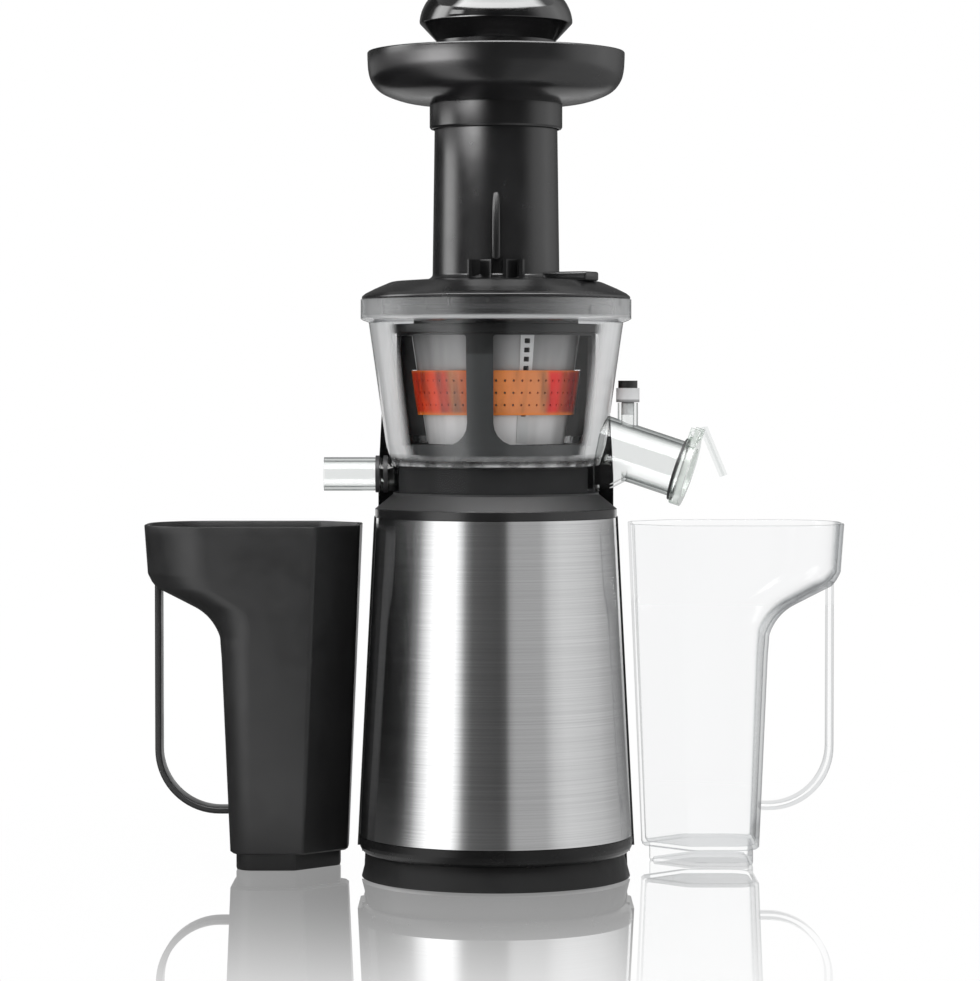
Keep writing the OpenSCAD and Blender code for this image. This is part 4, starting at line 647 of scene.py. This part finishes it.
    # bend it: along the sheet becomes the angle, and depth the radius
    t = calc(tree, "DIVIDE", plus((spot, "Z"), times(rise, 0.5)), rise)
    angle = calc(tree, "RADIANS", minus((given, "Turn"), calc(tree, "DIVIDE", (spot, "X"), flat)))
    taper = times(t, minus((given, "High Radius"), (given, "Low Radius")))
    bow = times(t, minus(1.0, t), 4, (given, "Bulge"))
    skin = minus((spot, "Y"), times((given, "Wall"), 0.5))
    radius = plus((given, "Low Radius"), taper, bow, skin)
    bent = new_node(tree, "GeometryNodeSetPosition")
    wire(tree, combined(times(radius, calc(tree, "COSINE", angle)), times(radius, calc(tree, "SINE", angle)),
                        plus((spot, "Z"), middle)), (bent, "Position"))
    closed = new_node(tree, "GeometryNodeMergeByDistance")
    closed.inputs["Distance"].default_value = 2e-6
    finish = new_node(tree, "GeometryNodeSetMaterial")
    wire(tree, (given, "Material"), (finish, "Material"))
    steps = (opened, bent, closed, new_node(tree, "GeometryNodeSetShadeSmooth"),
             new_node(tree, "GeometryNodeRealizeInstances"), finish, result)
    for before, after in zip(steps, steps[1:]):
        wire(tree, (before, 0), (after, 0))
    return tree


pierced_sheet = pierced_sheet_tree()


def applied(piece):
    """Turn a piece and its modifier into a plain mesh."""
    done = bpy.data.meshes.new_from_object(piece.evaluated_get(bpy.context.evaluated_depsgraph_get()))
    piece.modifiers.clear()
    piece.data = done
    return piece


def sheet(name, material, **sizes):
    """A plain mesh from the pierced sheet. Sizes are named as its inputs, with _ for a space, in mm or degrees."""
    piece = mesh_object(name, [], [])
    nodes = piece.modifiers.new("sheet", "NODES")
    nodes.node_group = pierced_sheet
    for socket in pierced_sheet.interface.items_tree:
        key = socket.name.replace(" ", "_").lower()
        if socket.in_out == "INPUT" and key in sizes:
            if socket.socket_type == "NodeSocketInt":
                nodes[socket.identifier] = sizes[key]
            else:
                turning = key in ("degrees", "turn", "column_pitch", "hole_degrees")
                nodes[socket.identifier] = float(sizes[key]) * (1 if turning else MM)
        elif socket.name == "Material":
            nodes[socket.identifier] = material
    applied(piece).data.set_sharp_from_angle(angle=radians(SHARP))
    return piece


def eased(corners, steps=5):
    """Round the corners of an outline. Each corner is (x, y) or (x, y, radius)."""
    out = []
    n = len(corners)
    for i, c in enumerate(corners):
        r = c[2] if len(c) > 2 else 0
        p = Vector(c[:2])
        if not r:
            out.append(tuple(p))
            continue
        a, b = Vector(corners[i - 1][:2]) - p, Vector(corners[(i + 1) % n][:2]) - p
        turn = a.angle(b)
        reach = min(r / tan(turn / 2), 0.49 * a.length, 0.49 * b.length)
        a.normalize()
        b.normalize()
        middle = p + (a + b).normalized() * (reach / cos(turn / 2))
        s, e = p + a * reach - middle, p + b * reach - middle
        whole = s.angle_signed(e)
        for k in range(steps + 1):
            out.append(tuple(middle + Matrix.Rotation(-whole * k / steps, 2) @ s))
    return out


def joined(name, parts):
    """Several made pieces as one object."""
    bm = bmesh.new()
    for part in parts:
        bm.from_mesh(part.data)
        bpy.data.objects.remove(part)
    mesh = bpy.data.meshes.new(name)
    bm.to_mesh(mesh)
    bm.free()
    mesh.set_sharp_from_angle(angle=radians(SHARP))
    return placed(name, mesh)


SIEVE_LOW, SIEVE_TOP, SIEVE_LOW_R, SIEVE_TOP_R, SIEVE_WALL, SIEVE_FLOOR = 217.5, 271.5, 33.9, 41.8, 1.4, 1.6
FLANGE_BORE, FLANGE_R, FLANGE_TOP = 40.4, 44.3, 274.0
RIB_TURN, RIB_DEGREES, RIB_LOW, RIB_TOP, RIB_PROUD = 51.5, 9.6, SIEVE_LOW + 1, SIEVE_TOP - 0.2, 0.5


def sieve_radius(z):
    return SIEVE_LOW_R + (z - SIEVE_LOW) * (SIEVE_TOP_R - SIEVE_LOW_R) / (SIEVE_TOP - SIEVE_LOW)


def sieve_haze(tree, facing):
    return spread(tree, grain(tree, 20, 4), 0.80, 0.92)


def sieve_grey_and_lid_shade(tree):
    """Pale at the foot and darker towards the lid, with upright flow lines; the darkening towards the lid is
    painted shade.
    """
    # painted shade: the sieve darkens towards the lid
    rising = ramp(tree, height(tree, SIEVE_LOW * MM, SIEVE_TOP * MM), [
        (0.0, 0.95), (0.25, 0.9), (0.3, 0.45), (0.62, 0.44), (0.7, 0.42), (1.0, 0.27)])
    flow = ramp(tree, grain(tree, 70, 2, (1, 1, 0.06)), [(0.35, 0.70), (0.65, 1.12)])
    return colour_mix(tree, 1.0, rising, flow, "MULTIPLY")


smoke = clear_plastic("smoked_strainer_plastic", (0.50, 0.51, 0.52), (0.3, 0.305, 0.31), sieve_haze, sieve_grey_and_lid_shade)
pale = moulded("pale_rib_plastic", (0.62, 0.63, 0.63), 0.35, 2e-6, 900)
square_holes = dict(rows=9, row_pitch=4.5, first_row=232.5, hole_degrees=4.0, hole_height=2.4, top_corner=0.4,
                    bottom_corner=0.4, bulge=0)
parts = [
    sheet("strainer_shell", smoke, degrees=360, turn=RIB_TURN, low=SIEVE_LOW, high=SIEVE_TOP,
          low_radius=SIEVE_LOW_R, high_radius=SIEVE_TOP_R, wall=SIEVE_WALL, columns=3, column_pitch=120,
          **square_holes),
    turned("strainer_base", eased([(0, SIEVE_LOW), (SIEVE_LOW_R, SIEVE_LOW, 0.4),
                                   (SIEVE_LOW_R, SIEVE_LOW + SIEVE_FLOOR), (0, SIEVE_LOW + SIEVE_FLOOR)]), 120),
    turned("strainer_flange", eased([(FLANGE_BORE, SIEVE_TOP), (FLANGE_R, SIEVE_TOP, 0.4),
                                     (FLANGE_R, FLANGE_TOP, 0.4), (FLANGE_BORE, FLANGE_TOP, 0.4)]), 120)]
fitted(joined("strainer_moulding", parts), "bowl", "strainer_grey", smoke, "strainer")
ribs = [sheet("rib", pale, degrees=RIB_DEGREES, turn=RIB_TURN + 120 * k, low=RIB_LOW, high=RIB_TOP,
              low_radius=sieve_radius(RIB_LOW) + RIB_PROUD, high_radius=sieve_radius(RIB_TOP) + RIB_PROUD,
              wall=RIB_PROUD, columns=1, column_pitch=0, **square_holes) for k in range(3)]
fitted(joined("strainer_ribs", ribs), "bowl", "strainer_grey", pale)


# ---------- amber band ----------
# A tinted silicone sleeve snapped round the middle of the sieve, pierced with three rows of fine holes. Its colour
# changes round the sleeve through reds, oranges and tan, and it is a brighter orange at its edges.
BAND_LOW, BAND_TOP, BAND_T, BAND_WALL = 232.0, 254.0, 3.0, 2.4
amber, tree, out = blank_material("amber_silicone")
streak = grain(tree, 120, 3, (1, 1, 0.12))
axes = own_axes(tree)
angle = calc(tree, "ARCTAN2", (axes, "X"), calc(tree, "MULTIPLY", (axes, "Y"), -1.0))
ragged = calc(tree, "ADD", angle, calc(tree, "MULTIPLY", calc(tree, "SUBTRACT", streak, 0.5), 0.25))
hues = ramp(tree, remap(tree, ragged, -pi, pi), [
    (0.0, (0.80, 0.06, 0.004)), (0.16, (0.60, 0.19, 0.03)), (0.30, (0.50, 0.02, 0.003)),
    (0.335, (0.85, 0.06, 0.002)), (0.395, (0.75, 0.045, 0.002)), (0.41, (0.48, 0.14, 0.03)),
    (0.455, (0.70, 0.11, 0.015)), (0.475, (0.85, 0.05, 0.01)), (0.50, (0.85, 0.27, 0.07)),
    (0.60, (0.70, 0.24, 0.085)), (0.612, (0.85, 0.015, 0.008)), (0.637, (0.75, 0.012, 0.006)),
    (0.65, (0.48, 0.05, 0.003)), (0.675, (0.40, 0.008, 0.008)), (0.82, (0.80, 0.10, 0.005)),
    (1.0, (0.80, 0.06, 0.004))])
shade = colour_mix(tree, 1.0, hues, ramp(tree, streak, [(0.38, 0.55), (0.5, 1.0), (0.62, 1.2)]), "MULTIPLY")
rims = ramp(tree, height(tree, BAND_LOW * MM, BAND_TOP * MM), [
    (0.0, 1.0), (0.09, 0.0), (0.93, 0.0), (1.0, 0.5)])
shader = principled(tree, Base_Color=colour_mix(tree, rims, shade, (0.95, 0.26, 0.03, 1)), Specular_IOR_Level=0.25,
                    Roughness=spread(tree, grain(tree, 60, 4), 0.22, 0.34))
bump(tree, streak, 3e-5, shader)
wire(tree, (shader, 0), (out, 0))
band = sheet("amber_sleeve", amber, degrees=360, turn=3, low=BAND_LOW, high=BAND_TOP,
             low_radius=sieve_radius(BAND_LOW) + BAND_T, high_radius=sieve_radius(BAND_TOP) + BAND_T, bulge=0.2,
             wall=BAND_WALL, columns=60, column_pitch=6, rows=3, row_pitch=6, first_row=237, hole_degrees=1.5,
             hole_height=1.2, top_corner=0.55, bottom_corner=0.55)
fitted(band, "bowl", "band_amber", amber, "strainer_band")


# ---------- brush frame, wipers and auger ----------
# A dark plastic cage with four windows turns round the sieve, driven by the ring gear at its foot. Two of its
# bars carry silicone blades that wipe the sieve, and the auger turns inside it.
FRAME_LOW, FRAME_TOP, FRAME_LOW_R, FRAME_TOP_R, FRAME_WALL = 209.7, 272.5, 46.1, 49.7, 2.2
FRAME_TURN, BAR_DEGREES, WINDOW_LOW, WINDOW_TOP = -9.4, 15.5, 217.3, 271.3
FRAME_FOOT_BORE, FRAME_FOOT_T, SHADE_LOW, SHADE_TOP = 43.9, 1.8, 0.255, 0.272
CROWN_BORE, CROWN_R, CROWN_TOP = 46.0, 52.7, 277.0
BLADE_LOW, BLADE_TOP, BLADE_GAP, BLADE_HALF = 221.5, 271.2, 0.6, 1.5


def frame_tone(tree):
    """The frame is darker in the shade of the lid."""
    return ramp(tree, height(tree, SHADE_LOW, SHADE_TOP), [
        (0.0, 1.0), (0.38, 1.0), (0.45, 0.38), (0.95, 0.3), (1.0, 0.12)])


def lofted(name, rings):
    """An object skinned over rings of points, with a face at each end."""
    n, last = len(rings[0]), len(rings) - 1
    faces = [(k * n + i, k * n + (i + 1) % n, (k + 1) * n + (i + 1) % n, (k + 1) * n + i)
             for k in range(last) for i in range(n)]
    faces += [tuple(range(n))[::-1], tuple(range(last * n, last * n + n))]
    return mesh_object(name, [p for ring in rings for p in ring], faces)


frame_grey = moulded("frame_grey_plastic", (0.058, 0.061, 0.062), 0.38, 1.5e-6, 1200, mottle=0.04,
                     tone=frame_tone)
parts = [
    sheet("frame_cage", frame_grey, degrees=360, turn=FRAME_TURN, low=FRAME_LOW, high=FRAME_TOP,
          low_radius=FRAME_LOW_R, high_radius=FRAME_TOP_R, bulge=1.2, wall=FRAME_WALL, columns=4, column_pitch=90,
          rows=1, row_pitch=0, first_row=(WINDOW_LOW + WINDOW_TOP) / 2, hole_degrees=90 - BAR_DEGREES,
          hole_height=WINDOW_TOP - WINDOW_LOW, top_corner=1.5, bottom_corner=11),
    turned("frame_crown", eased([(CROWN_BORE, FRAME_TOP), (CROWN_R, FRAME_TOP, 0.4), (CROWN_R, CROWN_TOP, 0.4),
                                 (CROWN_BORE, CROWN_TOP, 0.4)]), 120),
    turned("frame_foot", eased([(FRAME_FOOT_BORE, FRAME_LOW), (FRAME_LOW_R, FRAME_LOW, 0.3),
                                (FRAME_LOW_R, FRAME_LOW + FRAME_FOOT_T),
                                (FRAME_FOOT_BORE, FRAME_LOW + FRAME_FOOT_T)]), 120)]
fitted(joined("brush_frame_cage", parts), "brush", "frame_grey", frame_grey, "brush_frame")
dress("brush_ring_gear", moulded("ring_gear_plastic", (0.05, 0.052, 0.054), 0.4, 4e-6, 900))
# each blade reaches from its bar to the sieve and steps round the band
blade = [
    (sieve_radius(BLADE_LOW) + BLADE_GAP, BLADE_LOW), (48.0, BLADE_LOW), (49.9, 247.0),
    (50.2, BLADE_TOP + 1), (FLANGE_R + 0.5, BLADE_TOP + 1), (FLANGE_R + 0.5, BLADE_TOP),
    (sieve_radius(BLADE_TOP) + BLADE_GAP, BLADE_TOP), (sieve_radius(BAND_TOP + 0.3) + BLADE_GAP, BAND_TOP + 0.3),
    (sieve_radius(BAND_TOP) + BAND_T + 0.5, BAND_TOP + 0.3),
    (sieve_radius(BAND_LOW) + BAND_T + 0.5, BAND_LOW - 0.3),
    (sieve_radius(BAND_LOW - 0.3) + BLADE_GAP, BAND_LOW - 0.3)]
blades = []
for degrees in (FRAME_TURN, FRAME_TURN + 180):
    a = radians(degrees)
    blades.append(tidy(lofted("blade", [[(r * cos(a) - y * sin(a), r * sin(a) + y * cos(a), z) for r, z in blade]
                                        for y in (-BLADE_HALF, BLADE_HALF)])))
fitted(joined("wiper_blades", blades), "brush", "seal_grey",
       moulded("wiper_silicone", (0.022, 0.023, 0.024), 0.6, 3e-6, 900), "wipers")
dress("auger", moulded("auger_grey_plastic", (0.16, 0.165, 0.17), 0.4, 1e-5, 900))


# ---------- lid ----------
# The lid and its feed chute are one black moulding that twists onto the bowl's lugs. A gusset stiffens the
# chute in front, over a fluted grip on the dome, and a flat tab locks the lid.
def block(name, low, high, ease=0.6, turn=0):
    """A box with eased edges, turned about the vertical axis."""
    bm = bmesh.new()
    bmesh.ops.create_cube(bm, size=1)
    bmesh.ops.scale(bm, vec=[(h - l) for l, h in zip(low, high)], verts=bm.verts)
    bmesh.ops.translate(bm, vec=[(h + l) / 2 for l, h in zip(low, high)], verts=bm.verts)
    bmesh.ops.bevel(bm, geom=bm.edges[:], offset=ease, segments=3, profile=0.5, affect="EDGES")
    bmesh.ops.scale(bm, vec=(MM, MM, MM), verts=bm.verts)
    bmesh.ops.rotate(bm, matrix=Matrix.Rotation(radians(turn), 3, "Z"), verts=bm.verts)
    mesh = bpy.data.meshes.new(name)
    bm.to_mesh(mesh)
    bm.free()
    return tidy(placed(name, mesh))


satin_black = moulded("satin_black_plastic", (0.011, 0.011, 0.0115), 0.24, 4e-6, 1100)
LID_R, LID, DOME, CHUTE_R, CHUTE_TOP, CHUTE_TOP_R, CHUTE_BORE = 67.2, 289.7, 299.6, 31.2, 393.2, 30.4, 28.0
outer = eased([
    (41.2, 276.5), (41.2, 296.7, 2), (51.2, 295.9, 3), (59.2, 292.3, 3), (62.0, 291.1), (62.0, 281.7),
    (64.4, 281.7), (64.4, LID), (LID_R, LID, 0.4), (LID_R - 0.3, LID + 1.3, 0.8), (LID_R - 2, LID + 2.7, 3),
    (LID_R - 7, LID + 5.2, 12), (LID_R - 15.2, LID + 8.7, 12), (CHUTE_R + 2.4, DOME, 3),
    (CHUTE_R + 0.5, DOME + 1.6, 2), (CHUTE_TOP_R, CHUTE_TOP, 0.5), (CHUTE_BORE, CHUTE_TOP, 0.5),
    (CHUTE_BORE, 294.7, 3), (38.8, 287.7, 3), (38.8, 276.5)])
parts = [turned("lid_shell", outer)]
for k in range(4):
    parts.append(turned("lug", [(63.9, 282.2), (65.8, 282.2), (65.8, 285.2), (63.9, 285.2)], 8, 45 + 90 * k, 14))
BRIDGE_LOW, BRIDGE_TOP = 284.2, 296.2
parts.append(block("bridge", (-28.6, -4, BRIDGE_LOW), (28.6, 4, BRIDGE_TOP), 0.8))
parts.append(turned("bushing_seat", [(7.9, BRIDGE_LOW), (11, BRIDGE_LOW), (11, BRIDGE_TOP), (0, BRIDGE_TOP),
                                     (0, BRIDGE_TOP - 1.9), (7.9, BRIDGE_TOP - 1.9)], 64))
fitted(joined("lid_moulding", parts), "lid", "satin_black", satin_black, "lid")
gusset = ((-30.2, 308.2), (-36.2, 308.2), (-35.6, 322.2), (-33.2, 334.2), (-30.3, 344.2))
rib = lofted("lid_gusset", [[(x, y, z) for y, z in gusset] for x in (-2, 2)])
soften = rib.modifiers.new("soften", "BEVEL")
soften.width, soften.segments = 0.0018, 5
# the fluted grip stands on the dome in front of the chute: saw-toothed bars with dark gaps between them
GRIP_LOW, GRIP_TOP, GRIP_BACK, GRIP_GAP, GRIP_FACE = 298.9, 308.4, -24.0, -31.0, -36.1
flutes = [(-14.2, GRIP_BACK), (-14.2, -33.2), (-13.3, GRIP_FACE), (-11.9, GRIP_FACE), (-11.8, GRIP_GAP),
          (-7.8, GRIP_GAP), (-2.6, GRIP_FACE), (-2.2, GRIP_FACE), (-2.1, GRIP_GAP),
          (3.2, GRIP_GAP), (3.4, GRIP_FACE), (5.0, GRIP_FACE), (10.4, GRIP_GAP),
          (11.2, GRIP_GAP), (11.3, GRIP_FACE), (13.0, GRIP_FACE), (14.2, -33.2), (14.2, GRIP_BACK)]
grip = lofted("lid_grip", [[(x, y, z) for x, y in flutes] for z in (GRIP_LOW, GRIP_TOP)])
tab = block("lid_tab", (29.7, -7, 298.1), (54.7, 7, 302.7), 1.1, -30)
fitted(joined("lid_details", [tidy(applied(rib)), tidy(grip, 30), tab]), "lid", "satin_black", satin_black)


# ---------- feed tray ----------
# A round black dish with a collar that slips over the top of the chute; cut fruit waits in it. It lifts off
# for washing.
def smooth_line(points, steps):
    """A smooth line through points."""
    line = []
    for i in range(len(points) - 1):
        a, b, c, d = (Vector(points[max(0, min(len(points) - 1, k))]) for k in (i - 1, i, i + 1, i + 2))
        for k in range(steps):
            t = k / steps
            bend = (2 * a - 5 * b + 4 * c - d) * t * t + (3 * b - a - 3 * c + d) * t ** 3
            line.append(tuple(0.5 * (2 * b + (c - a) * t + bend)))
    return line + [tuple(points[-1])]


side = smooth_line([(37.4, 386.9), (46.0, 388.2), (54.4, 391.0), (59.2, 394.0), (62.4, 398.4), (63.7, 403.0),
                    (64.1, 408.0), (64.2, 411.6)], 5)
dish = smooth_line([(62.3, 411.4), (61.9, 405.0), (60.5, 400.2), (57.5, 396.3), (53.2, 393.7), (45.0, 391.2),
                    (37.1, 390.2)], 5)
outer = eased([(31.4, 374.2), (32.5, 374.2, 0.4), (33.1, 375.2, 0.5), (33.1, 386.6)]) + side \
    + [(64.15, 412.2), (63.8, 412.6), (63.2, 412.7), (62.7, 412.4)] + dish \
    + eased([(33.1, 390.2), (33.1, 395.7, 0.6), (28.1, 395.7, 0.5), (28.1, 393.5), (31.4, 393.5)])
fitted(turned("feed_tray_dish", outer), "tray", "satin_black", satin_black, "feed_tray")


# ---------- pusher ----------
# A hollow black tube with a closed end that fits the chute. A glossy domed head is snapped into its top and
# stops it at the tray.
dress("pusher_tube", satin_black)
side = smooth_line([(38.0, 426.9), (38.1, 428.3), (37.6, 431.0), (36.6, 434.0), (34.4, 437.9), (30.6, 441.4),
                    (23.0, 443.8), (12.0, 444.9), (0.0, 445.15)], 5)
outer = eased([(25.3, 417.9), (29.6, 417.9, 0.5), (37.6, 426.4)]) + side + [(0, 428.9), (25.3, 428.9)]
fitted(turned("pusher_head_cap", outer), "pusher", "gloss_black", gloss_black, "pusher_head")


# ---------- jugs ----------
# Two jugs from one mould shape, one black and one clear: a flat side with chamfers, a round handle side that
# flares out above the grip, a raised foot and a strap handle welded to lip and wall.
JUG_H, JUG_WALL, FOOT_H, FLARE_LOW, FLARE_TOP = 175.5, 2.0, 8.5, 108.5, 152
JUG_FLAT, JUG_SIDE, JUG_HALF, JUG_DRAFT, FLARE_R, FLARE_MID = 6.9, 66.4, 30, 4, 24, 112.5
STRAP_X, STRAP_T, STRAP_HALF, STRAP_BEND = 105.6, 3.2, 8.0, 33


def smooth(a, b, x):
    t = min(1, max(0, (x - a) / (b - a)))
    return t * t * (3 - 2 * t)


def jug_handle_side(z, inset):
    """How far the jug's wall reaches towards the handle at a height."""
    side = JUG_SIDE - inset
    if z <= FLARE_LOW:
        return side + JUG_DRAFT * max(0, z - FOOT_H) / (FLARE_LOW - FOOT_H)
    line = [(side + JUG_DRAFT, FLARE_LOW)]
    for degrees in range(165, 119, -5):
        a = radians(degrees)
        line.append((side + JUG_DRAFT + FLARE_R * (1 + cos(a)) + (165 - degrees) * 0.03,
                     FLARE_MID + FLARE_R * sin(a)))
    line += [(104.5 - inset, 143.4 + 0.8 * inset), (107 - inset, 146.6 + 0.4 * inset), (109 - inset, 150.5),
             (110.7 - inset, JUG_H)]
    for (x0, z0), (x1, z1) in zip(line, line[1:]):
        if z <= z1:
            return x0 + (x1 - x0) * (z - z0) / (z1 - z0)
    return line[-1][0]


def jug_section(z, inset, foot=False):
    """Outline of the jug at a height, with the flat side at the left and the handle side at the right."""
    t = (z - FOOT_H) / (JUG_H - FOOT_H)
    x0, half = JUG_FLAT * (1 - t) + inset, JUG_HALF + 12 * t - inset
    x1 = jug_handle_side(z, inset)
    round_r = 12 + 6 * t + 16 * smooth(112, 150, z) - inset
    if foot:
        x0, half, x1, round_r = JUG_FLAT + 4 + inset, JUG_HALF - 4 - inset, JUG_SIDE - 3 - inset, 9 - inset
    cut = 22 - 0.6 * inset
    corners = [(x0, -half + cut, 4), (x0 + cut, -half, 4), (x1, -half, round_r), (x1, half, round_r),
               (x0 + cut, half, 4), (x0, half - cut, 4)]
    return eased(corners, 12)


def jug_shell(name, place):
    """The jug from the middle of its underside, up the outside, over the lip and down to the floor inside."""
    def ring(section, inset, z=None, foot=False):
        return [(x, y, section if z is None else z) for x, y in jug_section(section, inset, foot)]

    def drawn_in(points):
        return [(x * 0.3 + 26, y * 0.3, z) for x, y, z in points]

    levels = [FOOT_H + (FLARE_LOW - FOOT_H) * k / 12 for k in range(1, 13)]
    levels += [FLARE_LOW + (FLARE_TOP - FLARE_LOW) * k / 40 for k in range(1, 41)]
    levels += [FLARE_TOP + (JUG_H - FLARE_TOP) * k / 5 for k in range(1, 5)]
    rings = [drawn_in(ring(0, 2.2, 1.6, True))]
    rings += [ring(0, i, z, True)
              for i, z in ((2.2, 1.6), (1.8, 0.4), (1.2, 0), (0.3, 0.3), (0, 1.2), (0, FOOT_H))]
    rings += [ring(FOOT_H, 1.2)] + [ring(z, 0) for z in [FOOT_H + 1.0] + levels + [JUG_H - 0.6]]
    rings += [ring(JUG_H, i, z) for i, z in ((0.2, JUG_H - 0.15), (0.7, JUG_H), (1.3, JUG_H), (1.8, JUG_H - 0.15),
                                             (2.0, JUG_H - 0.6))]
    rings += [ring(z, JUG_WALL) for z in reversed(levels) if z > FOOT_H + JUG_WALL + 2]
    bottom = ring(FOOT_H + 2, JUG_WALL + 1, FOOT_H + JUG_WALL)
    rings += [ring(FOOT_H + 3, JUG_WALL, FOOT_H + JUG_WALL + 0.8), bottom, drawn_in(bottom)]
    return tidy(lofted(name, [[place(p) for p in points] for points in rings]), 30)


def jug_strap(name, place):
    """The handle: a flat strap swept down from the lip, round a bend and back to the wall."""
    path = [(STRAP_X, 144.8), (STRAP_X, 142), (STRAP_X, 135)] + [(STRAP_X, 130 - 7 * k) for k in range(11)]
    for degrees in range(0, -91, -5):
        a = radians(degrees)
        path.append((STRAP_X - STRAP_BEND + STRAP_BEND * cos(a), 60 + STRAP_BEND * sin(a)))
    path += [(69.5, 27), (67.7, 27)]
    strip = eased([(0, -STRAP_HALF, 0.9), (STRAP_T, -STRAP_HALF, 0.9), (STRAP_T, STRAP_HALF, 0.9),
                   (0, STRAP_HALF, 0.9)], 4)
    rings = []
    for i, (x, z) in enumerate(path):
        a, b = path[max(0, i - 1)], path[min(len(path) - 1, i + 1)]
        along = Vector((b[0] - a[0], b[1] - a[1])).normalized()
        rings.append([place((x + along.y * d, y, z - along.x * d)) for d, y in strip])
    return tidy(lofted(name, rings))


def at_black_jug(p):
    return (-69 - p[0], 46 + p[1], p[2])


def at_clear_jug(p):
    return (69 + p[0], 62 + p[1], p[2])


jug_black = moulded("jug_black_plastic", (0.020, 0.020, 0.0205), 0.42, 3e-6, 900)
jug_clear = clear_plastic("clear_jug_plastic", (0.992, 0.993, 0.994), (0.70, 0.715, 0.725), f0=0.015, start=0.6)
for jug, place, slot, material in (("black_jug", at_black_jug, "satin_black", jug_black),
                                   ("clear_jug", at_clear_jug, "clear_plastic", jug_clear)):
    fitted(jug_shell(jug + "_shell", place), jug, slot, material, jug)
    fitted(jug_strap(jug + "_strap", place), jug, slot, material, jug + "_handle")
